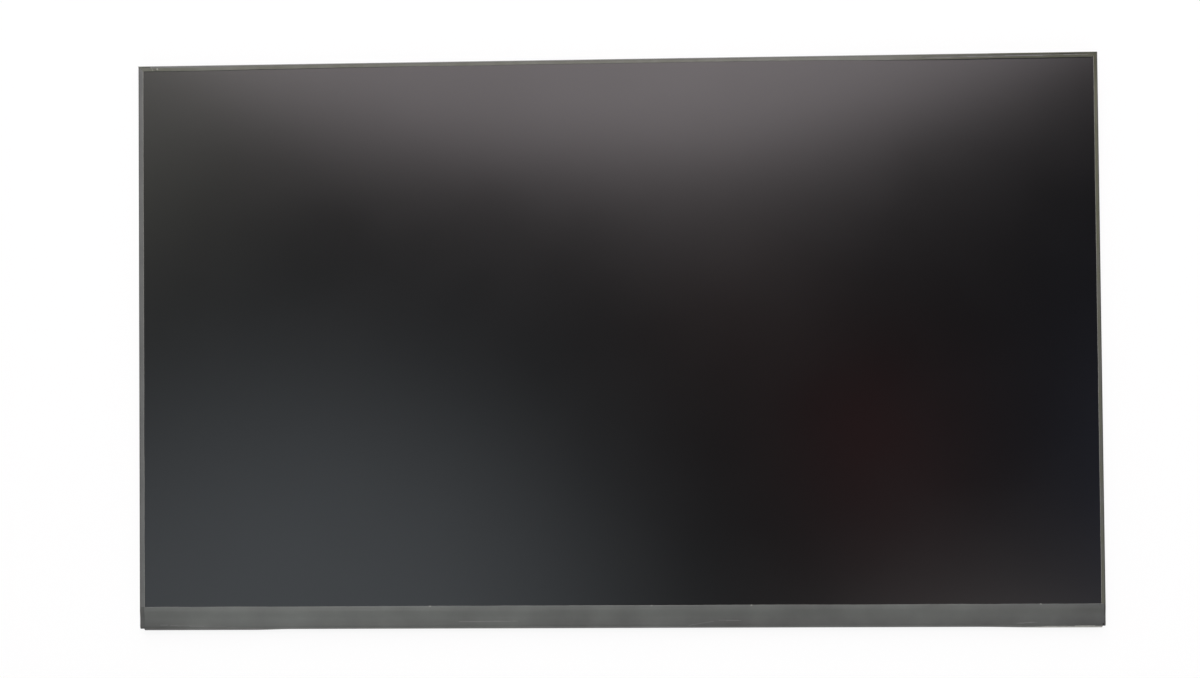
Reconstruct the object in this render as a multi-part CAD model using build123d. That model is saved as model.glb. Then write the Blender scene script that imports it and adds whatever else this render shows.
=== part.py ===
from build123d import *
import os

# A narrow-border 15.6-inch laptop display panel, lying on its back with the screen up.
# X runs along the screen's width, Y up the screen and Z out of the screen, in millimetres.
# The origin lies under the middle of the outline, on the surface that the panel lies on.

# Outline of the module, and the black tape that shows round the screen
MODULE_WIDTH = 350.66
MODULE_HEIGHT = 207.5
LEFT_FLAP = 1.85
RIGHT_FLAP = 1.5
TOP_FLAP = 1.75
REAR_FLAP = 2.4
COVER_STRIP = 8.45
COVER_LAP = 1.2
COVER_SHORT_LEFT = 1.6
COVER_SHORT_RIGHT = 1.1
TAPE_BUTT = 0.05

# Thicknesses, from the front to the back
TAPE_T = 0.08
FRONT_POLARIZER_T = 0.16
FILTER_GLASS_T = 0.25
ARRAY_GLASS_T = 0.25
REAR_POLARIZER_T = 0.12
CELL_TAPE_T = 0.08
SHELF_T = 0.3
FILM_AIR = 0.06
PRISM_T = 0.12
DIFFUSER_T = 0.08
GUIDE_T = 0.5
REFLECTOR_T = 0.12
PLATE_T = 0.2
BOARD_TAPE_T = 0.1
BOARD_T = 0.4
SOURCE_FILM_T = 0.08
LED_FLEX_T = 0.08
ADHESIVE_T = 0.02

# Side section: widths and clearances, counted inward from the module's outer face
FIT = 0.05
FRAME_WALL = 0.62
STACK_GAP = 0.25
SHELF_REACH = 1.1
LIP_T = 0.42
CELL_GAP = 0.1
POLARIZER_INSET = 0.3
LIP_R = 0.25
PLATE_BEND_R = 0.05

# Lower edge: from the round nose of the frame up to the screen
NOSE_GAP = 0.1
PLATE_SEAT = 0.45
LED_FLEX_WIDTH = 1.35
LED_SETBACK = 0.3
LED_GAP = 0.1
FILM_SETBACK = 0.3
BOTTOM_SHELF = 6.0
ARRAY_OVERHANG = 0.75
REAR_POLARIZER_SETBACK = 0.85
GLASS_SETBACK = 0.6
BOND = 1.6
COVER_SETTLE = 0.25

# Stamped field of the rear plate, and the hooks that hold the frame in the plate
FIELD_DEPTH = 0.2
FIELD_INSET = 9.0
FIELD_CLEAR = 3.0
FIELD_SLOPE = 1.6
FIELD_R = 8.0
FLANGE_RELIEF = 1.6
FLANGE_SHORT = 0.1
HOOK_LENGTH = 6.0
HOOK_HEIGHT = 0.4
HOOK_BITE = 0.1
HOOK_RISE = 0.3
SIDE_HOOK_COUNT = 3
TOP_HOOK_COUNT = 4

# Locating ears of the light guide and the films
EAR_LENGTH = 8.0
EAR_REACH = 0.45
TOP_EAR_COUNT = 2
SIDE_EAR_COUNT = 1

# Light bar
LED_COUNT = 42
LED_LENGTH = 3.0
LED_DEPTH = 0.9
LED_HEIGHT = 0.5
LED_END_WALL = 0.3
LED_RIM = 0.08
LED_WINDOW_DEPTH = 0.25
TAIL_WIDTH = 10.0
TAIL_GAP = 0.2

# Source driver films and their chips
FILM_COUNT = 4
FILM_WIDTH = 36.0
CHIP_LENGTH = 18.0
CHIP_WIDTH = 1.2
CHIP_UP = 1.3
CHIP_GAP = 0.1

# Driver board
BOARD_SETBACK = 5.2
BOARD_STRIP = 8.0
BOARD_TAB_RISE = 5.8
BOARD_END = 1.5
BOARD_R = 1.0
BOARD_TAPE_INSET = 0.6
COVER_PAST_BOND = 0.8
PART_GAP = 0.6

# Signal connector: pins, housing and shell
PIN_COUNT = 30
PIN_PITCH = 0.5
PIN_WIDTH = 0.2
PIN_T = 0.12
PIN_TAIL = 0.7
PIN_SETBACK = 0.9
PIN_SLOT_GAP = 0.02
HOUSING_SIDE = 1.75
HOUSING_DEPTH = 3.9
HOUSING_HEIGHT = 0.85
HOUSING_BASE = 0.25
HOUSING_BACK = 1.0
HOUSING_CHEEK = 0.9
SHELL_T = 0.15
SHELL_DEPTH = 3.4
SHELL_FOOT = 0.9
SHELL_FOOT_LENGTH = 1.1
SHELL_WINDOW = 1.5
SHELL_WINDOW_DEPTH = 0.8
SHELL_WINDOW_COUNT = 4
CONNECTOR_ALONG = 38.0

# Chips and passive parts on the board: length along X, width along Y, height off the board
TIMING_CHIP = (8.0, 8.0, 0.85)
POWER_CHIP = (5.0, 5.0, 0.75)
SHIFTER_CHIP = (5.0, 4.0, 0.75)
BACKLIGHT_CHIP = (4.0, 4.0, 0.75)
MEMORY_CHIP = (3.0, 2.0, 0.55)
INDUCTOR = (4.0, 4.0, 1.0)
DIODE = (2.6, 1.6, 0.9)
FUSE = (1.6, 0.8, 0.5)
LARGE_CAPACITOR = (2.0, 1.25, 0.85)
MEDIUM_CAPACITOR = (1.6, 0.8, 0.8)
SMALL_CAPACITOR = (1.0, 0.5, 0.5)
RESISTOR = (1.0, 0.5, 0.35)
CHIP_CORNER = 0.3
INDUCTOR_CORNER = 0.9
INDUCTOR_EDGE = 0.15
TERMINAL_LENGTH = 0.22
TERMINAL_SKIN = 0.03
LEAD_LENGTH = 0.35
LEAD_WIDTH = 1.1
LEAD_T = 0.15

# Spacing of the parts on the board
SECTION_GAP = 8.0
TAB_MARGIN = 8.0
FILM_ROW_COUNT = 6
FILM_ROW_PITCH = 2.5
ROW_PITCH = 1.6
LARGE_PITCH = 2.6

# Conductive tapes from the board to the rear plate
GROUND_WIDTH = 8.0
GROUND_ON_BOARD = 2.2
GROUND_SLOPE = 0.9
GROUND_ON_PLATE = 3.3

# Levels, from the surface that the panel lies on up to the front of the tape
Z_BOARD = max(INDUCTOR[2], HOUSING_HEIGHT + SHELL_T, TIMING_CHIP[2], DIODE[2])
Z_BOARD_TOP = Z_BOARD + BOARD_T
Z_PLATE = Z_BOARD_TOP + BOARD_TAPE_T
Z_FIELD = Z_PLATE - FIELD_DEPTH
Z_FLOOR = Z_PLATE + PLATE_T
Z_GUIDE = Z_FLOOR + REFLECTOR_T
Z_DIFFUSER = Z_GUIDE + GUIDE_T
Z_LOWER_PRISM = Z_DIFFUSER + DIFFUSER_T
Z_UPPER_PRISM = Z_LOWER_PRISM + PRISM_T
Z_STACK = Z_UPPER_PRISM + PRISM_T
Z_SHELF_UNDER = Z_STACK + FILM_AIR
Z_SHELF = Z_SHELF_UNDER + SHELF_T
Z_REAR_POLARIZER = Z_SHELF + CELL_TAPE_T
Z_ARRAY = Z_REAR_POLARIZER + REAR_POLARIZER_T
Z_FILTER = Z_ARRAY + ARRAY_GLASS_T
Z_FRONT_POLARIZER = Z_FILTER + FILTER_GLASS_T
Z_SCREEN = Z_FRONT_POLARIZER + FRONT_POLARIZER_T
Z_FLANGE = Z_SHELF_UNDER - FLANGE_SHORT

# Insets from the left, right and top outer faces
IN_PLATE = TAPE_T
IN_FLANGE = IN_PLATE + PLATE_T
IN_WALL = IN_FLANGE + PLATE_BEND_R + FIT
IN_STACK_ROOM = IN_WALL + FRAME_WALL
IN_STACK = IN_STACK_ROOM + STACK_GAP
IN_SHELF = IN_STACK_ROOM + SHELF_REACH
IN_LIP = TAPE_T + LIP_T
IN_GLASS = IN_LIP + CELL_GAP
IN_POLARIZER = IN_GLASS + POLARIZER_INSET
PLATE_FOLD_R = PLATE_BEND_R + PLATE_T
IN_FLOOR = IN_PLATE + 2 * PLATE_FOLD_R

# Half-round folds at the lower edge: the source films, and the cover tape outside them
FILM_FOLD_R = (Z_FILTER - Z_BOARD) / 2
Z_FOLD = (Z_FILTER + Z_BOARD) / 2
COVER_FOLD_R = FILM_FOLD_R + max(SOURCE_FILM_T, LED_FLEX_T) + ADHESIVE_T
NOSE_R = FILM_FOLD_R - NOSE_GAP
TAIL_FOLD_R = (Z_FLOOR - Z_BOARD) / 2
Z_TAIL_FOLD = (Z_FLOOR + Z_BOARD) / 2

# Heights above the lower edge
UP_FOLD = COVER_FOLD_R + TAPE_T
UP_RABBET = UP_FOLD + FIT
UP_PLATE = UP_RABBET + FIT
UP_WALL = UP_PLATE + PLATE_SEAT
UP_FLEX = UP_WALL + FIT
UP_FLEX_END = UP_FLEX + LED_FLEX_WIDTH
UP_LED = UP_FLEX + LED_SETBACK
UP_GUIDE = UP_LED + LED_DEPTH + LED_GAP
UP_REFLECTOR = max(UP_FLEX_END, UP_GUIDE) + LED_GAP
UP_FILMS = UP_GUIDE + FILM_SETBACK
UP_ARRAY = UP_FOLD + ARRAY_OVERHANG
UP_BOND = UP_ARRAY + BOND
UP_REAR_POLARIZER = UP_ARRAY + REAR_POLARIZER_SETBACK
UP_POLARIZER = COVER_STRIP - COVER_LAP
UP_FILTER = UP_POLARIZER - GLASS_SETBACK
UP_SETTLE = UP_BOND + COVER_SETTLE
UP_BOARD_BOND = BOARD_SETBACK + BOND
UP_COVER_END = UP_BOARD_BOND + COVER_PAST_BOND
UP_PARTS = UP_COVER_END + PART_GAP
UP_STRIP_END = BOARD_SETBACK + BOARD_STRIP
UP_TAB_END = UP_STRIP_END + BOARD_TAB_RISE
UP_FIELD = UP_TAB_END + FIELD_CLEAR

# Driver films share the glass evenly, and the board spans from the first film to the last
FILM_PITCH = (MODULE_WIDTH - 2 * IN_GLASS) / FILM_COUNT
FILM_XS = [(i - (FILM_COUNT - 1) / 2) * FILM_PITCH for i in range(FILM_COUNT)]
BOARD_LEFT = FILM_XS[0] - FILM_WIDTH / 2 - BOARD_END
BOARD_RIGHT = FILM_XS[-1] + FILM_WIDTH / 2 + BOARD_END
TAIL_X = FILM_XS[FILM_COUNT // 2] - FILM_PITCH / 2


def beside(x, size, other, gap=PART_GAP):
    """Where the next part along the board is centred, a gap to the right of this one."""
    return x + size[0] / 2 + gap + other[0] / 2


# Places along the board's tab, from the signal connector to the right end
HOUSING_LENGTH = (PIN_COUNT - 1) * PIN_PITCH + 2 * HOUSING_SIDE
SOCKET = (HOUSING_LENGTH + 2 * SHELL_T + 2 * SHELL_FOOT, HOUSING_DEPTH)
CONNECTOR_X = BOARD_LEFT + CONNECTOR_ALONG
FIRST_COIL_X = beside(CONNECTOR_X, SOCKET, INDUCTOR, SECTION_GAP)
POWER_X = beside(FIRST_COIL_X, INDUCTOR, POWER_CHIP)
SECOND_COIL_X = beside(POWER_X, POWER_CHIP, INDUCTOR)
POWER_DIODE_X = beside(SECOND_COIL_X, INDUCTOR, DIODE)
MEMORY_COLUMN_X = beside(POWER_DIODE_X, DIODE, RESISTOR, SECTION_GAP)
MEMORY_X = beside(MEMORY_COLUMN_X, RESISTOR, MEMORY_CHIP)
TIMING_LEFT_X = beside(MEMORY_X, MEMORY_CHIP, SMALL_CAPACITOR, SECTION_GAP)
TIMING_X = beside(TIMING_LEFT_X, SMALL_CAPACITOR, TIMING_CHIP)
TIMING_RIGHT_X = beside(TIMING_X, TIMING_CHIP, SMALL_CAPACITOR)
SHIFTER_X = beside(TIMING_RIGHT_X, SMALL_CAPACITOR, SHIFTER_CHIP, SECTION_GAP)
SHIFTER_COLUMN_X = beside(SHIFTER_X, SHIFTER_CHIP, RESISTOR)
TAB_RIGHT = SHIFTER_COLUMN_X + RESISTOR[0] / 2 + TAB_MARGIN

# Places along the board's strip, to the right of the light bar's tail
BACKLIGHT_COLUMN_X = TAIL_X + TAIL_WIDTH / 2 + RESISTOR[0] / 2
BACKLIGHT_X = beside(BACKLIGHT_COLUMN_X, RESISTOR, BACKLIGHT_CHIP)
BOOST_COIL_X = beside(BACKLIGHT_X, BACKLIGHT_CHIP, INDUCTOR)
BOOST_DIODE_X = beside(BOOST_COIL_X, INDUCTOR, DIODE)
BOOST_CAPACITOR_X = beside(BOOST_DIODE_X, DIODE, LARGE_CAPACITOR)

# Heights of the rows of parts on the board
ROW_UP = UP_PARTS + RESISTOR[1]
STRIP_UP = (UP_PARTS + UP_STRIP_END) / 2
TAB_UP = (ROW_UP + RESISTOR[1] + UP_TAB_END) / 2
CONNECTOR_UP = UP_PARTS + HOUSING_DEPTH / 2


def left(inset):
    return -MODULE_WIDTH / 2 + inset


def right(inset):
    return MODULE_WIDTH / 2 - inset


def top(inset):
    return MODULE_HEIGHT / 2 - inset


def low(up):
    return -MODULE_HEIGHT / 2 + up


def block(x_span, y_span, z_span):
    """A box between two values on each axis."""
    spans = (x_span, y_span, z_span)
    middle = [(a + b) / 2 for a, b in spans]
    return Pos(*middle) * Box(*[b - a for a, b in spans])


def sheet(inset, up, z, thickness):
    """A flat rectangular sheet, inset on the left, right and top, and raised above the lower edge."""
    return block((left(inset), right(inset)), (low(up), top(inset)), (z, z + thickness))


def border(outer, inner, outer_up, inner_up, z_span):
    """A picture frame between two insets, with its own heights above the lower edge."""
    whole = block((left(outer), right(outer)), (low(outer_up), top(outer)), z_span)
    return whole - block((left(inner), right(inner)), (low(inner_up), top(inner)), z_span)


def spread(count, length):
    """Places of a number of things that share a length evenly, about its middle."""
    return [((i + 0.5) / count - 0.5) * length for i in range(count)]


def across(sketch, x_span):
    """Extrudes a section drawn as (height above the lower edge, level) along X."""
    plane = Plane(origin=(x_span[0], low(0), 0), x_dir=(0, 1, 0), z_dir=(1, 0, 0))
    return extrude(plane * sketch, x_span[1] - x_span[0])


def polygon(*points):
    return make_face(Polyline(*points, close=True))


def rounded(face, corner, radius):
    """Rounds the one corner of a flat section that lies at the given point."""
    place = Vector(*corner)
    return fillet(face.vertices().sort_by_distance(place)[0], radius)


def hairpin(front_end, rear_end, fold_up, z_fold, radius, thickness):
    """Section of a strip that runs down the front, round a half-round fold and up the back."""
    outer = radius + thickness
    line = [
        Line((front_end, z_fold + outer), (fold_up, z_fold + outer)),
        ThreePointArc((fold_up, z_fold + outer), (fold_up - outer, z_fold), (fold_up, z_fold - outer)),
        Line((fold_up, z_fold - outer), (rear_end, z_fold - outer)),
        Line((rear_end, z_fold - outer), (rear_end, z_fold - radius)),
        Line((rear_end, z_fold - radius), (fold_up, z_fold - radius)),
        ThreePointArc((fold_up, z_fold - radius), (fold_up - radius, z_fold), (fold_up, z_fold + radius)),
        Line((fold_up, z_fold + radius), (front_end, z_fold + radius)),
        Line((front_end, z_fold + radius), (front_end, z_fold + outer)),
    ]
    return make_face(line)


# Display cell
def front_polarizer():
    return sheet(IN_POLARIZER, UP_POLARIZER, Z_FRONT_POLARIZER, FRONT_POLARIZER_T)


def filter_glass():
    return sheet(IN_GLASS, UP_FILTER, Z_FILTER, FILTER_GLASS_T)


def array_glass():
    return sheet(IN_GLASS, UP_ARRAY, Z_ARRAY, ARRAY_GLASS_T)


def rear_polarizer():
    return sheet(IN_POLARIZER, UP_REAR_POLARIZER, Z_REAR_POLARIZER, REAR_POLARIZER_T)


def cell_tape():
    z_span = (Z_SHELF, Z_REAR_POLARIZER)
    return border(IN_POLARIZER, IN_SHELF, UP_REAR_POLARIZER, BOTTOM_SHELF, z_span)


def source_film(x):
    """A driver film from the glass ledge, round the nose of the frame, to the board."""
    section = hairpin(UP_BOND, UP_BOARD_BOND, UP_FOLD, Z_FOLD, FILM_FOLD_R, SOURCE_FILM_T)
    return across(section, (x - FILM_WIDTH / 2, x + FILM_WIDTH / 2))


def source_chip(x):
    """The driver chip on the inner side of its film, behind the rear plate."""
    up = UP_FOLD + CHIP_UP
    height = BOARD_T + BOARD_TAPE_T - CHIP_GAP
    x_span = (x - CHIP_LENGTH / 2, x + CHIP_LENGTH / 2)
    return block(x_span, (low(up), low(up + CHIP_WIDTH)), (Z_BOARD, Z_BOARD + height))


# Frame and rear plate
def hook_places():
    """Each hook as its wall and its place along that wall."""
    sides = [(wall, y) for wall in ("left", "right") for y in spread(SIDE_HOOK_COUNT, MODULE_HEIGHT)]
    return sides + [("top", x) for x in spread(TOP_HOOK_COUNT, MODULE_WIDTH)]


def wall_block(wall, along, length, insets, z_span):
    """A box that runs along one wall, between two insets from that wall's outer face."""
    run = (along - length / 2, along + length / 2)
    if wall == "left":
        return block((left(insets[0]), left(insets[1])), run, z_span)
    if wall == "right":
        return block((right(insets[1]), right(insets[0])), run, z_span)
    return block(run, (top(insets[1]), top(insets[0])), z_span)


def hook_window(wall, along):
    z_span = (Z_FLOOR + HOOK_RISE - FIT, Z_FLOOR + HOOK_RISE + HOOK_HEIGHT + FIT)
    return wall_block(wall, along, HOOK_LENGTH + 2 * FIT, (0, IN_WALL), z_span)


def hook(wall, along):
    z_span = (Z_FLOOR + HOOK_RISE, Z_FLOOR + HOOK_RISE + HOOK_HEIGHT)
    return wall_block(wall, along, HOOK_LENGTH, (IN_FLANGE - HOOK_BITE, IN_STACK_ROOM), z_span)


def ear_pockets():
    """Pockets in the frame's walls for the ears of the light guide and the films."""
    insets = (IN_STACK - EAR_REACH - FIT, IN_STACK)
    room = EAR_LENGTH + 2 * STACK_GAP
    sides = [("left", y) for y in spread(SIDE_EAR_COUNT, MODULE_HEIGHT / 2)]
    sides += [("right", y) for y in spread(SIDE_EAR_COUNT, MODULE_HEIGHT / 2)]
    guide = [wall_block(wall, y, room, insets, (Z_FLOOR, Z_SHELF_UNDER)) for wall, y in sides]
    tops = spread(TOP_EAR_COUNT, MODULE_WIDTH)
    films = [wall_block("top", x, room, insets, (Z_FLOOR, Z_SHELF_UNDER)) for x in tops]
    return guide + films


def frame_nose():
    """The frame's lower bar: a round nose that guides the films, with a rabbet for the plate."""
    rise = Z_SHELF - Z_FOLD
    drop = Z_FOLD - Z_PLATE
    start = (UP_FOLD - (NOSE_R**2 - rise**2) ** 0.5, Z_SHELF)
    end = (UP_FOLD - (NOSE_R**2 - drop**2) ** 0.5, Z_PLATE)
    round_face = ThreePointArc(start, (UP_FOLD - NOSE_R, Z_FOLD), end)
    rabbet = [(UP_RABBET, Z_PLATE), (UP_RABBET, Z_FLOOR)]
    seat = Polyline(end, *rabbet, (UP_WALL, Z_FLOOR), (UP_WALL, Z_SHELF), start)
    return across(make_face([round_face, *seat.edges()]), (left(TAPE_T), right(TAPE_T)))


def frame_lip():
    """The rim round the glass, with its outer front edge rounded under the tape."""
    rim = border(TAPE_T, IN_LIP, UP_POLARIZER, UP_POLARIZER, (Z_SHELF_UNDER, Z_SCREEN))
    front = rim.edges().group_by(Axis.Z)[-1]
    long_sides = front.filter_by(Axis.Y).sort_by(Axis.X)
    upper = front.filter_by(Axis.X).sort_by(Axis.Y)
    rim = fillet([long_sides[0], long_sides[-1], upper[-1]], LIP_R)
    ledge_span = (low(UP_FOLD), low(UP_POLARIZER))
    left_end = block((left(TAPE_T), left(IN_LIP)), ledge_span, (Z_SHELF_UNDER, Z_FILTER))
    right_end = block((right(IN_LIP), right(TAPE_T)), ledge_span, (Z_SHELF_UNDER, Z_FILTER))
    return rim + left_end + right_end


def mold_frame():
    """The black moulded frame: walls on the plate, a shelf for the cell and a rim round the glass."""
    walls = border(IN_WALL, IN_STACK_ROOM, UP_PLATE, UP_PLATE, (Z_FLOOR, Z_SHELF_UNDER))
    shelf = border(TAPE_T, IN_SHELF, UP_FOLD, BOTTOM_SHELF, (Z_SHELF_UNDER, Z_SHELF))
    frame = walls + shelf + frame_lip() + frame_nose()
    for wall, along in hook_places():
        frame += hook(wall, along)
    for pocket in ear_pockets():
        frame -= pocket
    tail_span = (TAIL_X - TAIL_WIDTH / 2 - TAIL_GAP, TAIL_X + TAIL_WIDTH / 2 + TAIL_GAP)
    notch_top = Z_FLOOR + LED_FLEX_T + TAIL_GAP
    return frame - block(tail_span, (low(0), low(UP_FLEX)), (Z_PLATE, notch_top))


def flange(wall, start, length):
    """One folded-up edge of the rear plate, with its bend."""
    section = polygon(
        (IN_PLATE, Z_FLANGE),
        (IN_PLATE, Z_PLATE),
        (IN_FLOOR, Z_PLATE),
        (IN_FLOOR, Z_FLOOR),
        (IN_FLANGE, Z_FLOOR),
        (IN_FLANGE, Z_FLANGE),
    )
    section = rounded(section, (IN_PLATE, Z_PLATE), PLATE_FOLD_R)
    section = rounded(section, (IN_FLANGE, Z_FLOOR), PLATE_BEND_R)
    return extrude(wall_plane(wall, start) * section, length)


def wall_plane(wall, start):
    """A plane across one wall: its x points inward, its y up, and it extrudes along the wall."""
    if wall == "left":
        return Plane(origin=(left(0), start, 0), x_dir=(1, 0, 0), z_dir=(0, -1, 0))
    if wall == "right":
        return Plane(origin=(right(0), start, 0), x_dir=(-1, 0, 0), z_dir=(0, 1, 0))
    return Plane(origin=(start, top(0), 0), x_dir=(0, -1, 0), z_dir=(-1, 0, 0))


def rear_field(z_outer, z_inner):
    """The stamped field between its rim and its flat, as a lofted pan."""
    width = MODULE_WIDTH - 2 * FIELD_INSET
    height = MODULE_HEIGHT - FIELD_INSET - UP_FIELD
    middle = (low(UP_FIELD) + top(FIELD_INSET)) / 2
    rim = Pos(0, middle, z_outer) * RectangleRounded(width, height, FIELD_R)
    flat_size = (width - 2 * FIELD_SLOPE, height - 2 * FIELD_SLOPE)
    flat = Pos(0, middle, z_inner) * RectangleRounded(*flat_size, FIELD_R - FIELD_SLOPE)
    return loft([rim, flat])


def rear_plate():
    """The folded sheet-metal tray, with a stamped field that leaves room for tape and board round it."""
    plate = block((left(IN_FLOOR), right(IN_FLOOR)), (low(UP_PLATE), top(IN_FLOOR)), (Z_PLATE, Z_FLOOR))
    plate += rear_field(Z_PLATE, Z_FIELD)
    plate -= rear_field(Z_FLOOR, Z_FIELD + PLATE_T)
    side_length = MODULE_HEIGHT - FLANGE_RELIEF - UP_WALL - FIT
    plate += flange("left", top(FLANGE_RELIEF), side_length)
    plate += flange("right", low(UP_WALL + FIT), side_length)
    plate += flange("top", right(FLANGE_RELIEF), MODULE_WIDTH - 2 * FLANGE_RELIEF)
    for wall, along in hook_places():
        plate -= hook_window(wall, along)
    return plate


# Backlight
def film(z, thickness):
    """One optical film, with its locating ears at the top."""
    whole = sheet(IN_STACK, UP_FILMS, z, thickness)
    for x in spread(TOP_EAR_COUNT, MODULE_WIDTH):
        whole += wall_block("top", x, EAR_LENGTH, (IN_STACK - EAR_REACH, IN_STACK), (z, z + thickness))
    return whole


def light_guide():
    whole = sheet(IN_STACK, UP_GUIDE, Z_GUIDE, GUIDE_T)
    for wall in ("left", "right"):
        for y in spread(SIDE_EAR_COUNT, MODULE_HEIGHT / 2):
            insets = (IN_STACK - EAR_REACH, IN_STACK)
            whole += wall_block(wall, y, EAR_LENGTH, insets, (Z_GUIDE, Z_GUIDE + GUIDE_T))
    return whole


def reflector_sheet():
    return sheet(IN_STACK, UP_REFLECTOR, Z_FLOOR, REFLECTOR_T)


def led_flex():
    """The light bar's flexible circuit, with a tail that folds round the plate to the board."""
    y_span = (low(UP_FLEX), low(UP_FLEX_END))
    strip = block((left(IN_STACK), right(IN_STACK)), y_span, (Z_FLOOR, Z_FLOOR + LED_FLEX_T))
    section = hairpin(UP_FLEX_END, UP_BOARD_BOND, UP_PLATE, Z_TAIL_FOLD, TAIL_FOLD_R, LED_FLEX_T)
    return strip + across(section, (TAIL_X - TAIL_WIDTH / 2, TAIL_X + TAIL_WIDTH / 2))


def backlight_leds():
    """Side-emitting lamps on the flex, facing the light guide's lower edge."""
    z = Z_FLOOR + LED_FLEX_T
    y_span = (low(UP_LED), low(UP_LED + LED_DEPTH))
    lamp = block((-LED_LENGTH / 2, LED_LENGTH / 2), y_span, (z, z + LED_HEIGHT))
    half_window = LED_LENGTH / 2 - LED_END_WALL
    lamp -= block(
        (-half_window, half_window),
        (y_span[1] - LED_WINDOW_DEPTH, y_span[1]),
        (z + LED_RIM, z + LED_HEIGHT - LED_RIM),
    )
    return Compound([Pos(x, 0, 0) * lamp for x in spread(LED_COUNT, MODULE_WIDTH - 2 * IN_STACK)])


# Black tapes
def edge_tape_section(front_flap):
    """Tape folded round one side: a flap on the screen, the side wall and a flap on the plate."""
    rear, front = Z_PLATE, Z_SCREEN
    section = polygon(
        (front_flap, front + TAPE_T),
        (0, front + TAPE_T),
        (0, rear - TAPE_T),
        (REAR_FLAP, rear - TAPE_T),
        (REAR_FLAP, rear),
        (TAPE_T, rear),
        (TAPE_T, front),
        (front_flap, front),
    )
    for outer, inner, radius in ((front + TAPE_T, front, LIP_R), (rear - TAPE_T, rear, PLATE_FOLD_R)):
        section = rounded(section, (0, outer), radius + TAPE_T)
        section = rounded(section, (TAPE_T, inner), radius)
    return section


def mitre(corner_x, inward, upper):
    """A prism that cuts a tape along the diagonal of an upper corner, above or below it."""
    reach = 2 * max(REAR_FLAP, LEFT_FLAP, RIGHT_FLAP, TOP_FLAP)
    out = (corner_x - inward * reach, top(-reach))
    far = (corner_x + inward * reach, top(reach))
    third = (far[0], out[1]) if upper else (out[0], far[1])
    slip = -TAPE_BUTT / 2 if upper else TAPE_BUTT / 2
    return extrude(Pos(0, slip, 0) * polygon(out, far, third), Z_SCREEN + 2 * TAPE_T)


def left_edge_tape():
    start = top(0)
    length = MODULE_HEIGHT - COVER_STRIP - TAPE_BUTT
    tape = extrude(wall_plane("left", start) * edge_tape_section(LEFT_FLAP), length)
    return tape - mitre(left(0), 1, True)


def right_edge_tape():
    start = low(COVER_STRIP + TAPE_BUTT)
    length = MODULE_HEIGHT - COVER_STRIP - TAPE_BUTT
    tape = extrude(wall_plane("right", start) * edge_tape_section(RIGHT_FLAP), length)
    return tape - mitre(right(0), -1, True)


def top_edge_tape():
    tape = extrude(wall_plane("top", right(0)) * edge_tape_section(TOP_FLAP), MODULE_WIDTH)
    return tape - mitre(left(0), 1, False) - mitre(right(0), -1, False)


def cover_tape():
    """The wide tape below the screen: over the ledge, round the lower edge and onto the board."""
    z_settled = Z_FOLD + COVER_FOLD_R
    run = [(COVER_STRIP, Z_SCREEN), (UP_POLARIZER, Z_SCREEN), (UP_SETTLE, z_settled), (UP_FOLD, z_settled)]
    raised = [(up, z + TAPE_T) for up, z in reversed(run)]
    tape = across(polygon(*run, *raised), (left(0), right(0)))
    section = hairpin(UP_SETTLE, UP_COVER_END, UP_FOLD, Z_FOLD, COVER_FOLD_R, TAPE_T)
    tape += across(section, (left(COVER_SHORT_LEFT), right(COVER_SHORT_RIGHT)))
    cheek = polygon(*raised, (COVER_STRIP, Z_PLATE), (UP_FOLD, Z_PLATE))
    tape += across(cheek, (left(0), left(TAPE_T)))
    tape += across(cheek, (right(TAPE_T), right(0)))
    return tape


# Driver board and what is soldered to it
def board_outline(step):
    """The board's outline: a long strip with a wider tab at the connector's end."""
    outline = polygon(
        (BOARD_LEFT + step, low(BOARD_SETBACK + step)),
        (BOARD_RIGHT - step, low(BOARD_SETBACK + step)),
        (BOARD_RIGHT - step, low(UP_STRIP_END - step)),
        (TAB_RIGHT - step, low(UP_STRIP_END - step)),
        (TAB_RIGHT - step, low(UP_TAB_END - step)),
        (BOARD_LEFT + step, low(UP_TAB_END - step)),
    )
    return fillet(outline.vertices(), BOARD_R)


def driver_board():
    return Pos(0, 0, Z_BOARD) * extrude(board_outline(0), BOARD_T)


def board_tape():
    return Pos(0, 0, Z_BOARD_TOP) * extrude(board_outline(BOARD_TAPE_INSET), BOARD_TAPE_T)


def on_board(size, x, up):
    """A plain part on the board's rear face, centred at a place along and above the lower edge."""
    length, width, height = size
    x_span = (x - length / 2, x + length / 2)
    return block(x_span, (low(up - width / 2), low(up + width / 2)), (Z_BOARD - height, Z_BOARD))


def end_capped(size, x, up):
    """A small ceramic part with a metal cap at each end, a little thicker than its body."""
    length, width, height = size
    core_size = (length - TERMINAL_LENGTH, width - 2 * TERMINAL_SKIN, height - 2 * TERMINAL_SKIN)
    part = Pos(0, 0, -TERMINAL_SKIN) * on_board(core_size, x, up)
    reach = (length - TERMINAL_LENGTH) / 2
    for cap_x in (x - reach, x + reach):
        part += on_board((TERMINAL_LENGTH, width, height), cap_x, up)
    return part


def diode(x, up):
    """A flat moulded diode, with a lead that spreads on the board at each end."""
    length, width, height = DIODE
    body = on_board((length - 2 * LEAD_LENGTH, width, height), x, up)
    return body + on_board((length, LEAD_WIDTH, LEAD_T), x, up)


def chip(size, x, up):
    """A flat chip package, with its first-pin corner cut."""
    body = on_board(size, x, up)
    upright = body.edges().filter_by(Axis.Z)
    return chamfer(upright.sort_by_distance((x - size[0], low(up + size[1]), 0))[0], CHIP_CORNER)


def timing_controller():
    return chip(TIMING_CHIP, TIMING_X, TAB_UP)


def power_chip():
    return chip(POWER_CHIP, POWER_X, TAB_UP)


def level_shifter():
    return chip(SHIFTER_CHIP, SHIFTER_X, TAB_UP)


def memory_chip():
    return chip(MEMORY_CHIP, MEMORY_X, TAB_UP)


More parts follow.
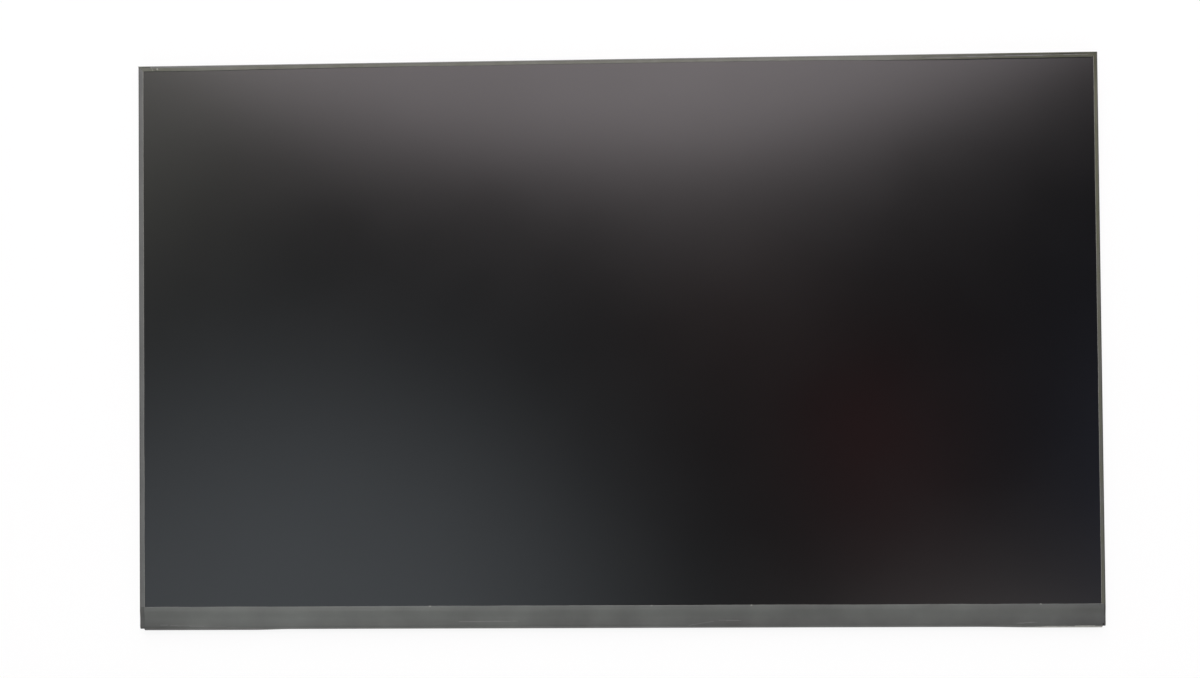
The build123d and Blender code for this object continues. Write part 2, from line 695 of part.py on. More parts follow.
def backlight_driver():
    return chip(BACKLIGHT_CHIP, BACKLIGHT_X, STRIP_UP)


def power_inductors():
    """Shielded coils: two beside the power chip and one beside the backlight driver."""
    places = [(FIRST_COIL_X, TAB_UP), (SECOND_COIL_X, TAB_UP), (BOOST_COIL_X, STRIP_UP)]
    coils = []
    for x, up in places:
        body = on_board(INDUCTOR, x, up)
        body = fillet(body.edges().filter_by(Axis.Z), INDUCTOR_CORNER)
        coils.append(chamfer(body.faces().sort_by(Axis.Z)[0].edges(), INDUCTOR_EDGE))
    return Compound(coils)


def film_rows():
    """Places of the row of small parts above each driver film, from the row's left end."""
    offsets = spread(FILM_ROW_COUNT, FILM_ROW_COUNT * FILM_ROW_PITCH)
    return [[(x + dx, ROW_UP) for dx in offsets] for x in FILM_XS]


def ceramic_capacitors():
    """Ceramic capacitors: the ends of the rows above the films, and larger ones round the chips."""
    places = []
    for row in film_rows():
        places += [(SMALL_CAPACITOR, *place) for place in row[:2] + row[-2:]]
    power_up = TAB_UP + POWER_CHIP[1] / 2 + LARGE_CAPACITOR[1]
    memory_up = TAB_UP + ROW_PITCH + RESISTOR[1] / 2 + PART_GAP + MEDIUM_CAPACITOR[1] / 2
    for dx in spread(3, 3 * LARGE_PITCH):
        places.append((LARGE_CAPACITOR, POWER_X + dx, power_up))
        places.append((MEDIUM_CAPACITOR, MEMORY_X + dx, memory_up))
    for x in (TIMING_LEFT_X, TIMING_RIGHT_X):
        places += [(SMALL_CAPACITOR, x, TAB_UP + dy) for dy in spread(4, 4 * ROW_PITCH)]
    places += [(LARGE_CAPACITOR, BOOST_CAPACITOR_X + dx, STRIP_UP) for dx in (0, LARGE_PITCH)]
    return Compound([end_capped(*place) for place in places])


def chip_resistors():
    """Chip resistors: the middles of the rows above the films, and a column beside some chips."""
    places = []
    for row in film_rows():
        places += row[2:-2]
    for dy in spread(3, 3 * ROW_PITCH):
        places += [(MEMORY_COLUMN_X, TAB_UP + dy), (SHIFTER_COLUMN_X, TAB_UP + dy)]
        places.append((BACKLIGHT_COLUMN_X, STRIP_UP + dy))
    return Compound([end_capped(RESISTOR, x, up) for x, up in places])


def rectifier_diodes():
    """One diode at the power chip's second coil and one at the backlight's coil."""
    return Compound([diode(POWER_DIODE_X, TAB_UP), diode(BOOST_DIODE_X, STRIP_UP)])


def input_fuse():
    return end_capped(FUSE, CONNECTOR_X, UP_TAB_END - 2 * FUSE[1])


# Signal connector, drawn with the board below it and the mouth towards +Y, then turned over
CONNECTOR_PLACE = Pos(CONNECTOR_X, low(CONNECTOR_UP), Z_BOARD) * Rot(180, 0, 0)


def pin_section(gap):
    """One contact seen from the side: a beam on the housing's base, a riser and a solder tail."""
    back = -HOUSING_DEPTH / 2
    beam = HOUSING_BASE + PIN_T
    return polygon(
        (HOUSING_DEPTH / 2 - PIN_SETBACK, HOUSING_BASE),
        (HOUSING_DEPTH / 2 - PIN_SETBACK, beam + gap),
        (back - PIN_T, beam + gap),
        (back - PIN_T, PIN_T),
        (back - PIN_TAIL, PIN_T),
        (back - PIN_TAIL, 0),
        (back, 0),
        (back, HOUSING_BASE),
    )


def pin_at(x, width, gap):
    plane = Plane(origin=(x - width / 2, 0, 0), x_dir=(0, 1, 0), z_dir=(1, 0, 0))
    return extrude(plane * pin_section(gap), width)


def pin_places():
    return [(i - (PIN_COUNT - 1) / 2) * PIN_PITCH for i in range(PIN_COUNT)]


def connector_contacts():
    return CONNECTOR_PLACE * Compound([pin_at(x, PIN_WIDTH, 0) for x in pin_places()])


def connector_housing():
    """An open trough: base, back wall with a slot for each contact, and two cheeks."""
    half, depth = HOUSING_LENGTH / 2, HOUSING_DEPTH / 2
    body = block((-half, half), (-depth, depth), (0, HOUSING_HEIGHT))
    inside = half - HOUSING_CHEEK
    body -= block((-inside, inside), (-depth + HOUSING_BACK, depth), (HOUSING_BASE, HOUSING_HEIGHT))
    slots = [pin_at(x, PIN_WIDTH + 2 * PIN_SLOT_GAP, PIN_SLOT_GAP) for x in pin_places()]
    return CONNECTOR_PLACE * (body - slots)


def connector_shell():
    """The pressed cover over the housing: lid with spring windows, side walls and solder feet."""
    inner, depth = HOUSING_LENGTH / 2, HOUSING_DEPTH / 2
    outer = inner + SHELL_T
    y_span = (depth - SHELL_DEPTH, depth)
    lid_span = (HOUSING_HEIGHT, HOUSING_HEIGHT + SHELL_T)
    shell = block((-outer, outer), y_span, lid_span)
    for x in spread(SHELL_WINDOW_COUNT, HOUSING_LENGTH):
        window_x = (x - SHELL_WINDOW / 2, x + SHELL_WINDOW / 2)
        shell -= block(window_x, (-SHELL_WINDOW_DEPTH / 2, SHELL_WINDOW_DEPTH / 2), lid_span)
    for side in (-1, 1):
        wall_x = sorted((side * inner, side * outer))
        foot_x = sorted((side * inner, side * (outer + SHELL_FOOT)))
        shell += block(wall_x, y_span, (0, HOUSING_HEIGHT + SHELL_T))
        shell += block(foot_x, (-SHELL_FOOT_LENGTH / 2, SHELL_FOOT_LENGTH / 2), (0, SHELL_T))
    return CONNECTOR_PLACE * shell


def ground_tape(x):
    """A conductive tape from the board's ground strip down to the rear plate."""
    step = UP_STRIP_END + TAPE_T
    run = [
        (UP_STRIP_END - GROUND_ON_BOARD, Z_BOARD),
        (step, Z_BOARD),
        (step + GROUND_SLOPE, Z_PLATE),
        (step + GROUND_SLOPE + GROUND_ON_PLATE, Z_PLATE),
    ]
    lower = [(up, z - TAPE_T) for up, z in reversed(run)]
    return across(polygon(*run, *lower), (x - GROUND_WIDTH / 2, x + GROUND_WIDTH / 2))


def pieces():
    """Every piece of the panel by its name."""
    made = {
        "front_polarizer": front_polarizer(),
        "filter_glass": filter_glass(),
        "array_glass": array_glass(),
        "rear_polarizer": rear_polarizer(),
        "cell_tape": cell_tape(),
        "mold_frame": mold_frame(),
        "rear_plate": rear_plate(),
        "upper_prism_sheet": film(Z_UPPER_PRISM, PRISM_T),
        "lower_prism_sheet": film(Z_LOWER_PRISM, PRISM_T),
        "diffuser_sheet": film(Z_DIFFUSER, DIFFUSER_T),
        "light_guide": light_guide(),
        "reflector_sheet": reflector_sheet(),
        "led_flex": led_flex(),
        "backlight_leds": backlight_leds(),
        "left_edge_tape": left_edge_tape(),
        "right_edge_tape": right_edge_tape(),
        "top_edge_tape": top_edge_tape(),
        "cover_tape": cover_tape(),
        "driver_board": driver_board(),
        "board_tape": board_tape(),
        "timing_controller": timing_controller(),
        "power_chip": power_chip(),
        "level_shifter": level_shifter(),
        "memory_chip": memory_chip(),
        "backlight_driver": backlight_driver(),
        "power_inductors": power_inductors(),
        "ceramic_capacitors": ceramic_capacitors(),
        "chip_resistors": chip_resistors(),
        "rectifier_diodes": rectifier_diodes(),
        "input_fuse": input_fuse(),
        "connector_housing": connector_housing(),
        "connector_shell": connector_shell(),
        "connector_contacts": connector_contacts(),
    }
    for number, x in enumerate(FILM_XS, 1):
        made[f"source_film_{number}"] = source_film(x)
        made[f"source_chip_{number}"] = source_chip(x)
    for number, x in enumerate((FILM_XS[-1] - FILM_PITCH / 2, BOARD_RIGHT - GROUND_WIDTH / 2), 1):
        made[f"ground_tape_{number}"] = ground_tape(x)
    return made


os.makedirs("parts", exist_ok=True)
for name, piece in pieces().items():
    export_step(piece, f"parts/{name}.step")
    print(name, round(piece.volume, 1))
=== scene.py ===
# %% [markdown]
# # A laptop display panel
# The panel is a sandwich of films, glass, acrylic and sheet metal, less than four millimetres thick. The
# CAD model already holds every layer in its place, so this lesson loads it as a fixed frame and spends
# its effort on what the eye meets: the matte screen, the black tapes round its edge, and the circuit
# board behind.

# %% Load the frame
import math

import bmesh
import bpy
import numpy as np
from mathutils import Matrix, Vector, noise


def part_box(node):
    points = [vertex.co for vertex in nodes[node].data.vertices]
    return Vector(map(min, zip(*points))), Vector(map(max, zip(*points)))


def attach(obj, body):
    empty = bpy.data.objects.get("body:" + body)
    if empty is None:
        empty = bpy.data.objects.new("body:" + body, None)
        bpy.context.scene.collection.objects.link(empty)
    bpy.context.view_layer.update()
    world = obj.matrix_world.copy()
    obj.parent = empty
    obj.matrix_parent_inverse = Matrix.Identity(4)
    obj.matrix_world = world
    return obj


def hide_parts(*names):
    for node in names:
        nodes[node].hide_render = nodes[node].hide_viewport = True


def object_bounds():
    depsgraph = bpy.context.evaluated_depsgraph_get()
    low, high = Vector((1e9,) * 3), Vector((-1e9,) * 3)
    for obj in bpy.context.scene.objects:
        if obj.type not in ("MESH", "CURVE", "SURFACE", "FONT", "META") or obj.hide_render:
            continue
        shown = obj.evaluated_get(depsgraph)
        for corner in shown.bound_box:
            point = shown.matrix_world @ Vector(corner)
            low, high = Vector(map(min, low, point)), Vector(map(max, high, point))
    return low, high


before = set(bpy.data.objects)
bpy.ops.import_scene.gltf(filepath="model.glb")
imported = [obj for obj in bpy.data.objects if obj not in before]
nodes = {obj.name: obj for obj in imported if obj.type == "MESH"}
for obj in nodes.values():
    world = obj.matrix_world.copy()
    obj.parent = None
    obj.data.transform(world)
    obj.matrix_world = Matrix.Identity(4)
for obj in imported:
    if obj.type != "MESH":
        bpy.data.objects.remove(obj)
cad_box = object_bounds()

bpy.context.scene.view_settings.view_transform = "Standard"
print("loaded", len(nodes), "nodes in a box of", [round(v, 5) for corner in cad_box for v in corner])

# %% [markdown]
# ## Camera
# The panel lies on its back and the camera hangs above it, a little to the right, looking almost straight
# down. The corners of the outline give the lens and the place: a 48 mm lens on a 36 mm sensor, 0.59 m up.
# A longer lens from further away would look flatter, and the right side would no longer be drawn slightly
# larger than the left.

# %% Set the camera
lens = bpy.data.cameras.new("camera")
lens.lens = 48.0
lens.sensor_width = 36.0
lens.clip_start = 0.01
camera = bpy.data.objects.new("camera", lens)
camera.location = (0.014962, -0.010941, 0.586244)
camera.rotation_euler = [math.radians(turn) for turn in (1.199, 2.0286, -0.5004)]
bpy.context.scene.collection.objects.link(camera)
bpy.context.scene.camera = camera
print("camera", lens.lens, "mm at", [round(v, 3) for v in camera.location])

# %% [markdown]
# ## Floor
# A plain white sheet carries the panel. Plain white paint would render a little grey, so part of it glows
# for rays that come from the camera, from gloss and through glass. The painted part stays and keeps the
# soft shadow.

# %% Lay the floor
floor_mesh = bpy.data.meshes.new("floor")
FLOOR_REACH = 30.0
corners = [(-FLOOR_REACH, -FLOOR_REACH, 0), (FLOOR_REACH, -FLOOR_REACH, 0),
           (FLOOR_REACH, FLOOR_REACH, 0), (-FLOOR_REACH, FLOOR_REACH, 0)]
floor_mesh.from_pydata(corners, [], [(0, 1, 2, 3)])
floor = bpy.data.objects.new("floor", floor_mesh)
bpy.context.scene.collection.objects.link(floor)

white_paper = bpy.data.materials.new("white_paper")
white_paper.use_nodes = True
floor_mesh.materials.append(white_paper)
tree = white_paper.node_tree
paint = tree.nodes["Principled BSDF"]
paint.inputs["Base Color"].default_value = (0.95, 0.95, 0.95, 1)
paint.inputs["Roughness"].default_value = 0.9
paint.inputs["Specular IOR Level"].default_value = 0.0
glow = tree.nodes.new("ShaderNodeEmission")
glow.inputs["Strength"].default_value = 1.0
ray = tree.nodes.new("ShaderNodeLightPath")
seen = tree.nodes.new("ShaderNodeMath")
seen.operation = "ADD"
seen_too = tree.nodes.new("ShaderNodeMath")
seen_too.operation = "ADD"
share = tree.nodes.new("ShaderNodeMath")
share.operation = "MULTIPLY"
share.use_clamp = True
share.inputs[1].default_value = 0.86
blend = tree.nodes.new("ShaderNodeMixShader")
tree.links.new(ray.outputs["Is Camera Ray"], seen.inputs[0])
tree.links.new(ray.outputs["Is Glossy Ray"], seen.inputs[1])
tree.links.new(seen.outputs[0], seen_too.inputs[0])
tree.links.new(ray.outputs["Is Transmission Ray"], seen_too.inputs[1])
tree.links.new(seen_too.outputs[0], share.inputs[0])
tree.links.new(share.outputs[0], blend.inputs["Fac"])
tree.links.new(paint.outputs["BSDF"], blend.inputs[1])
tree.links.new(glow.outputs["Emission"], blend.inputs[2])
tree.links.new(blend.outputs["Shader"], tree.nodes["Material Output"].inputs["Surface"])
print("floor", 2 * FLOOR_REACH, "m wide")

# %% [markdown]
# ## Room
# The matte screen shows the room as a blur, so the room is part of the look. The room here is a studio
# tent: pale walls all round, a dark opening overhead where the camera looks through, and soft glows on
# the cloth. Everything is a gradient on the direction of the ray, so no image is needed and the glows
# have no edges.

# %% Paint the tent
world = bpy.data.worlds.new("tent")
bpy.context.scene.world = world
world.use_nodes = True
tree = world.node_tree
sky_ray = tree.nodes.new("ShaderNodeTexCoord").outputs["Generated"]
axes = tree.nodes.new("ShaderNodeSeparateXYZ")
walls = tree.nodes.new("ShaderNodeValToRGB")
stops = walls.color_ramp.elements
stops[0].position, stops[0].color = 0.18, (1.0, 1.0, 1.0, 1)
stops[1].position, stops[1].color = 0.95, (0.015, 0.015, 0.016, 1)
for height, level in ((0.30, 0.52), (0.70, 0.48), (0.82, 0.22), (0.90, 0.08)):
    stop = stops.new(height)
    stop.color = (level, level, level, 1)
tree.links.new(sky_ray, axes.inputs["Vector"])
tree.links.new(axes.outputs["Z"], walls.inputs["Fac"])
room_light = walls.outputs["Color"]
print("tent with", len(stops), "levels from wall to roof")


# %% Add the glows
def wall_glow(toward, reach, colour, level):
    """A round glow on the cloth that fades to nothing at reach, in degrees from its middle."""
    global room_light
    facing = tree.nodes.new("ShaderNodeVectorMath")
    facing.operation = "DOT_PRODUCT"
    facing.inputs[1].default_value = Vector(toward).normalized()
    fade = tree.nodes.new("ShaderNodeMapRange")
    fade.interpolation_type = "SMOOTHSTEP"
    fade.inputs["From Min"].default_value = math.cos(math.radians(reach))
    fade.inputs["From Max"].default_value = 1.0
    shine = tree.nodes.new("ShaderNodeVectorMath")
    shine.operation = "SCALE"
    shine.inputs[0].default_value = [level * part for part in colour]
    total = tree.nodes.new("ShaderNodeVectorMath")
    tree.links.new(sky_ray, facing.inputs[0])
    tree.links.new(facing.outputs["Value"], fade.inputs["Value"])
    tree.links.new(fade.outputs["Result"], shine.inputs["Scale"])
    tree.links.new(room_light, total.inputs[0])
    tree.links.new(shine.outputs["Vector"], total.inputs[1])
    room_light = total.outputs["Vector"]


tent_glows = {
    "lower left": ((-0.238, -0.217, 1.0), 16.2, (0.855, 0.93, 1.0), 1.73),
    "lower right": ((0.218, -0.29, 1.0), 8.8, (1.0, 0.92, 0.92), 2.99),
    "upper left": ((-0.432, 0.25, 1.0), 11.9, (0.99, 1.0, 0.905), 1.87),
    "blue right": ((0.506, -0.086, 1.0), 13.2, (0.47, 0.60, 1.0), 1.04),
    "upper middle": ((0.039, 0.139, 1.0), 6.3, (1.0, 0.93, 0.945), 0.72),
    "red right": ((0.132, -0.037, 1.0), 1.8, (1.0, 0.08, 0.08), 1.5),
    "red tail": ((0.146, -0.107, 1.0), 1.8, (1.0, 0.1, 0.1), 0.6),
    "warm middle": ((0.046, 0.040, 1.0), 3.5, (1.0, 0.35, 0.25), 0.22),
    "far wall": ((-0.1, 1.0, 0.62), 30.0, (1.0, 0.99, 0.95), 3.0),
    "near wall": ((0.0, -1.0, 0.42), 24.0, (1.0, 1.0, 1.0), 1.2),
}
for settings in tent_glows.values():
    wall_glow(*settings)
tree.links.new(room_light, tree.nodes["Background"].inputs["Color"])
print("tent glows:", ", ".join(tent_glows))

# %% [markdown]
# ## Lamp
# One warm soft box hangs beyond the upper edge and gives the band at the top of the screen. It is an
# ellipse, so the band fades towards both upper corners. A lamp is written by how bright its face is,
# because that is what a mirror shows, and Blender's power follows from the brightness and the area.

# %% Hang the soft box
def soft_box(name, centre, turn, size, colour, brightness):
    """A level ellipse of light that faces down, turned about the vertical."""
    lamp = bpy.data.lights.new(name, "AREA")
    lamp.shape = "ELLIPSE"
    lamp.size, lamp.size_y = size
    lamp.color = colour
    lamp.energy = brightness * math.pi * (math.pi / 4 * lamp.size * lamp.size_y)
    box = bpy.data.objects.new(name, lamp)
    box.location = centre
    box.rotation_euler = (0, 0, math.radians(turn))
    bpy.context.scene.collection.objects.link(box)
    print(name, round(lamp.energy, 2), "W")


soft_box("upper_box", (0.021, 0.519, 1.15), 3.6, (1.224, 0.582), (1.0, 0.914, 0.941), 4.05)

# %% [markdown]
# ## Writing a finish
# Every finish starts from one Principled shader. Even values go straight onto its sockets. What varies
# comes from noise that is read in the object's own metres, so a grain keeps its true size on a large
# plate and on a small chip.

# %% Helpers for finishes
NOISE_LOW, NOISE_HIGH = 0.3, 0.7


def new_finish(name, **sockets):
    """A material whose even values are set on the shader's own sockets."""
    finish = bpy.data.materials.new(name)
    finish.use_nodes = True
    shader = finish.node_tree.nodes["Principled BSDF"]
    for socket, value in sockets.items():
        shader.inputs[socket.replace("_", " ")].default_value = value
    return finish


def own_place(finish, stretch=(1, 1, 1)):
    """The point on the piece in metres, squeezed along an axis where a grain runs long."""
    tree = finish.node_tree
    place = tree.nodes.new("ShaderNodeTexCoord")
    squeeze = tree.nodes.new("ShaderNodeMapping")
    squeeze.inputs["Scale"].default_value = stretch
    tree.links.new(place.outputs["Object"], squeeze.inputs["Vector"])
    return squeeze.outputs["Vector"]


def cloud(finish, size, detail=2.0, stretch=(1, 1, 1)):
    """Noise whose lumps are about this many millimetres wide."""
    tree = finish.node_tree
    lumps = tree.nodes.new("ShaderNodeTexNoise")
    lumps.inputs["Scale"].default_value = 1000.0 / size
    lumps.inputs["Detail"].default_value = detail
    tree.links.new(own_place(finish, stretch), lumps.inputs["Vector"])
    return lumps.outputs["Fac"]


def tint(finish, driver, colours, start=NOISE_LOW, end=NOISE_HIGH):
    """Spreads two or more colours over a driver's range, on the base colour."""
    tree = finish.node_tree
    ramp = tree.nodes.new("ShaderNodeValToRGB")
    stops = ramp.color_ramp.elements
    while len(stops) < len(colours):
        stops.new(0.5)
    for index, colour in enumerate(colours):
        stops[index].position = start + (end - start) * index / (len(colours) - 1)
        stops[index].color = (*colour, 1)
    tree.links.new(driver, ramp.inputs["Fac"])
    tree.links.new(ramp.outputs["Color"], tree.nodes["Principled BSDF"].inputs["Base Color"])


def gloss(finish, driver, low, high):
    """Lets the roughness wander between two values."""
    tree = finish.node_tree
    spread = tree.nodes.new("ShaderNodeMapRange")
    spread.inputs["From Min"].default_value = NOISE_LOW
    spread.inputs["From Max"].default_value = NOISE_HIGH
    spread.inputs["To Min"].default_value = low
    spread.inputs["To Max"].default_value = high
    tree.links.new(driver, spread.inputs["Value"])
    tree.links.new(spread.outputs["Result"], tree.nodes["Principled BSDF"].inputs["Roughness"])


def grain(finish, driver, microns, strength=1.0):
    """A bump of this height, on top of any bump that is there already."""
    tree = finish.node_tree
    bump = tree.nodes.new("ShaderNodeBump")
    bump.inputs["Strength"].default_value = strength
    bump.inputs["Distance"].default_value = microns * 1e-6
    normal = tree.nodes["Principled BSDF"].inputs["Normal"]
    if normal.links:
        tree.links.new(normal.links[0].from_socket, bump.inputs["Normal"])
    tree.links.new(driver, bump.inputs["Height"])
    tree.links.new(bump.outputs["Normal"], normal)


def dress(finish, *names):
    """Gives a finish to CAD nodes, whose meshes stay as they are."""
    for name in names:
        slots = nodes[name].data.materials
        slots.clear()
        slots.append(finish)
    print(finish.name, "on", ", ".join(names))


# %% [markdown]
# ## Screen face
# The front polarizer is a plastic film with an anti-glare skin: microscopic bumps spread each reflection
# over a few degrees, so the soft box turns into a veil. Modelling the bumps is hopeless at this size, and
# one roughness value stands for them. The body of the film is nearly black, because the display behind it
# is off.

# %% Dress the screen
screen_skin = new_finish("anti_glare_screen", IOR=1.5)
tint(screen_skin, cloud(screen_skin, 90.0), ((0.0018, 0.0019, 0.0021), (0.0026, 0.0025, 0.0026)))
gloss(screen_skin, cloud(screen_skin, 40.0), 0.178, 0.192)
grain(screen_skin, cloud(screen_skin, 0.15, 1.0), 0.4)
dress(screen_skin, "front_polarizer")

# %% [markdown]
# ## Tape finish
# The tape is thin black polyester with a matte print, and light from above makes it look dark grey. Its
# print is slightly uneven, and the film shows every small lump of glue under it. Two sizes of noise do
# both.

# %% Mix the tapes
def mix_tape(name, dark, light):
    """A matte tape that wanders between two shades of its black."""
    tape = new_finish(name, IOR=1.5)
    tint(tape, cloud(tape, 7.0, 4.0), (dark, light))
    gloss(tape, cloud(tape, 3.0), 0.34, 0.44)
    grain(tape, cloud(tape, 2.4, 3.0), 10.0)
    grain(tape, cloud(tape, 0.25, 1.0), 2.0)
    return tape


matte_tape = mix_tape("matte_black_tape", (0.090, 0.093, 0.090), (0.110, 0.113, 0.109))
# Painted shade on the left tape's bend. On the cheeks' flats the same colour is a darker tone of the tape.
tone_and_shade_tape = mix_tape("tone_and_shade_black_tape", (0.055, 0.056, 0.053), (0.069, 0.070, 0.066))
# Painted shade on the right tape's bend, in creases at both upper corners, and on the cheeks' walls, bends
# and cut edges.
shade_paint_tape = mix_tape("shade_paint_black_tape", (0.034, 0.035, 0.030), (0.046, 0.047, 0.041))
# A soft painted highlight on the upper tape's bend and rim, on crease ridges of the upper tape and the
# strip, and on the strip's cut edges.
soft_highlight_tape = mix_tape("soft_highlight_black_tape", (0.115, 0.117, 0.113), (0.140, 0.142, 0.137))
# A painted highlight on the pleats at the upper left, on nicks in the strip's upper edge, and on the side
# tapes' cut edges.
highlight_paint = new_finish("highlight_paint", IOR=1.5)
tint(highlight_paint, cloud(highlight_paint, 0.8), ((0.17, 0.17, 0.155), (0.29, 0.29, 0.265)))
gloss(highlight_paint, cloud(highlight_paint, 0.5), 0.45, 0.6)
# A painted shadow line along the upper tape's cut inner edge and where its right fold runs out to the
# corner.
shadow_paint = new_finish("shadow_paint", IOR=1.4)
tint(shadow_paint, cloud(shadow_paint, 1.5), ((0.006, 0.006, 0.006), (0.014, 0.014, 0.013)))
gloss(shadow_paint, cloud(shadow_paint, 0.4), 0.6, 0.8)
liner_paper = new_finish("liner_paper", IOR=1.45)
tint(liner_paper, cloud(liner_paper, 1.0, 3.0), ((0.27, 0.27, 0.245), (0.35, 0.35, 0.32)))
gloss(liner_paper, cloud(liner_paper, 0.5), 0.5, 0.7)
tape_finishes = (highlight_paint, shade_paint_tape, tone_and_shade_tape, soft_highlight_tape, shadow_paint, liner_paper)
# Each mark picks one of these finishes. All but the liner are painted light or shade.
HIGHLIGHT, SHADED, TONE_AND_SHADE, SOFT_HIGHLIGHT, SHADOW, LINER = range(1, 7)
print("tapes mixed:", ", ".join(finish.name for finish in (matte_tape, *tape_finishes)))

# %% [markdown]
# Three of the tapes are not one even shade. The wide strip is greyer where it lies on the screen and
# darkens towards the fold, a painted shade where its face turns away from the light, and towards its two
# ends. The upper tape is palest right of the middle and dark at its right end, painted light and shade for
# how the lamp and the tent reach it. The right tape is grey below, turns brownish above and is darkest at
# the corner. Slow fades along an axis, added to the same noise, give all that without a visible border.

# %% Helpers for fading
def fade_along(finish, axis, low, high, ends):
    """A number that goes from one end value to the other between two places, in millimetres."""
    tree = finish.node_tree
    axes = tree.nodes.new("ShaderNodeSeparateXYZ")
    spread = tree.nodes.new("ShaderNodeMapRange")
    spread.interpolation_type = "SMOOTHSTEP"
    spread.inputs["From Min"].default_value = low * 0.001
    spread.inputs["From Max"].default_value = high * 0.001
    spread.inputs["To Min"].default_value, spread.inputs["To Max"].default_value = ends
    tree.links.new(own_place(finish), axes.inputs["Vector"])
    tree.links.new(axes.outputs[axis], spread.inputs["Value"])
    return spread.outputs["Result"]


def faded_tape(name, lump, fades, shades):
    """A tape whose shade follows its noise and a list of fades, from the first shade to the last."""
    tape = mix_tape(name, shades[0], shades[-1])
    tree = tape.node_tree
    shade = cloud(tape, lump, 3.0)
    for axis, low, high, ends in fades:
        total = tree.nodes.new("ShaderNodeMath")
        tree.links.new(shade, total.inputs[0])
        tree.links.new(fade_along(tape, axis, low, high, ends), total.inputs[1])
        shade = total.outputs["Value"]
    tint(tape, shade, shades, 0.0, 1.0)
    return tape


# %% Mix the strip, the upper tape and the right tape
# Painted shade: the fade along Y darkens the strip towards the fold, where its face turns away from the
# light. The fades along X darken its two ends and lighten its left half.
strip_tape = faded_tape("strip_black_tape", 14.0,
                        (("Y", -102.5, -96.0, (-0.19, 0.13)), ("X", -174.0, -150.0, (-0.34, 0.02)),
                         ("X", -150.0, 20.0, (0.22, -0.06)), ("X", 150.0, 174.0, (0.0, -0.19))),
                        ((0.058, 0.0595, 0.056), (0.126, 0.135, 0.125)))
# Painted light and shade: the upper tape is lightest right of the middle, where more light reaches it, and
# darkens towards its right end, where less does.
top_tape = faded_tape("top_black_tape", 9.0,
                      (("X", 10.0, 45.0, (0.14, 0.40)), ("X", 78.0, 160.0, (0.0, -0.82))),
                      ((0.035, 0.038, 0.012), (0.119, 0.123, 0.104)))
right_tape = faded_tape("right_black_tape", 7.0,
                        (("Y", -20.0, 60.0, (0.36, 0.0)), ("Y", 84.0, 103.0, (0.0, -0.45))),
                        ((0.036, 0.036, 0.013), (0.080, 0.082, 0.047), (0.087, 0.087, 0.074)))
print("faded tapes:", strip_tape.name, top_tape.name, right_tape.name)

# %% [markdown]
# ## Building a tape
# A tape is a sheet with a thickness. Two matching grids of points give its printed face and its glued
# face, and the builder closes them along every free edge, so the mesh is watertight. A Solidify modifier
# would do the same for a whole grid, but here some cells are missing where the tape is cut away.

# %% Sheet builder
MM = 0.001


def add_piece(name, points, faces, finishes, marks, replaced):
    """Makes a mesh object in millimetres, lets it ride on the panel and stand for CAD nodes."""
    mesh = bpy.data.meshes.new(name)
    mesh.from_pydata([tuple(MM * value for value in point) for point in points], [], faces)
    for finish in finishes:
        mesh.materials.append(finish)
    mesh.polygons.foreach_set("material_index", marks)
    shell = bmesh.new()
    shell.from_mesh(mesh)
    bmesh.ops.recalc_face_normals(shell, faces=shell.faces)
    shell.to_mesh(mesh)
    shell.free()
    mesh.shade_smooth()
    mesh.set_sharp_from_angle(angle=math.radians(40))
    piece = bpy.data.objects.new(name, mesh)
    bpy.context.scene.collection.objects.link(piece)
    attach(piece, "root")
    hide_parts(*replaced)
    print(name, len(mesh.vertices), "points,", len(mesh.polygons), "faces")
    return piece


def thick_sheet(outer, inner, kept, face_mark=lambda row, column: 0, edge_mark=1):
    """Faces of a closed sheet between two grids of points, with marks that pick a finish for each."""
    rows, columns = kept.shape
    index, points = {}, []

    def point(side, row, column):
        key = (side, row, column)
        if key not in index:
            index[key] = len(points)
            points.append((outer, inner)[side][row][column])
        return index[key]

    faces, marks = [], []
    for row in range(rows):
        for column in range(columns):
            if not kept[row, column]:
                continue
            ring = [(row, column), (row, column + 1), (row + 1, column + 1), (row + 1, column)]
            faces.append([point(0, *corner) for corner in ring])
            faces.append([point(1, *corner) for corner in reversed(ring)])
            marks += [face_mark(row, column), 0]
            beyond = [(row - 1, column), (row, column + 1), (row + 1, column), (row, column - 1)]
            for step, (r, c) in enumerate(beyond):
                if 0 <= r < rows and 0 <= c < columns and kept[r, c]:
                    continue
                a, b = ring[step], ring[(step + 1) % 4]
                faces.append([point(0, *a), point(1, *a), point(1, *b), point(0, *b)])
                marks.append(edge_mark)
    return points, faces, marks


def ease(value, start, end):
    """An S curve from 0 at the start to 1 at the end, which may lie on either side of it."""
    share = min(max((value - start) / (end - start), 0.0), 1.0)
    return share * share * (3 - 2 * share)


def ripple(along, seed, length):
    """A smooth wander between about -1 and 1 that repeats nothing within the panel."""
    return noise.noise(Vector((along / length, seed, 0.5 * seed)))


# %% [markdown]
# ## Edge tapes
# Three narrow tapes bind the left, right and upper edges. Each one grips the screen's rim, goes round the
# side and sticks to the rear plate. The section is one path with its own normals, so the printed face is
# the glued face pushed out by the tape's thickness. The tape is laid by hand: its inner edge wanders by
# about a tenth of a millimetre, it bridges the gaps under it with a shallow hollow, and it is creased
# near the upper corners. A crease is a short line that lifts the points beside it and paints them pale or
# dark: a painted highlight where its ridge would catch the light, painted shade in its fold.

# %% Measure what the tapes hold
TAPE = 0.08
(west, south, _), (east, north, _) = [[value / MM for value in corner] for corner in cad_box]
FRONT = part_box("front_polarizer")[1].z / MM
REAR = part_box("left_edge_tape")[0].z / MM + TAPE
REAR_FLAP = 2.4
BEND = 0.25
STRIP_TOP = 8.45
print("outline", round(east - west, 2), "by", round(north - south, 2), "mm, screen at", round(FRONT, 2))


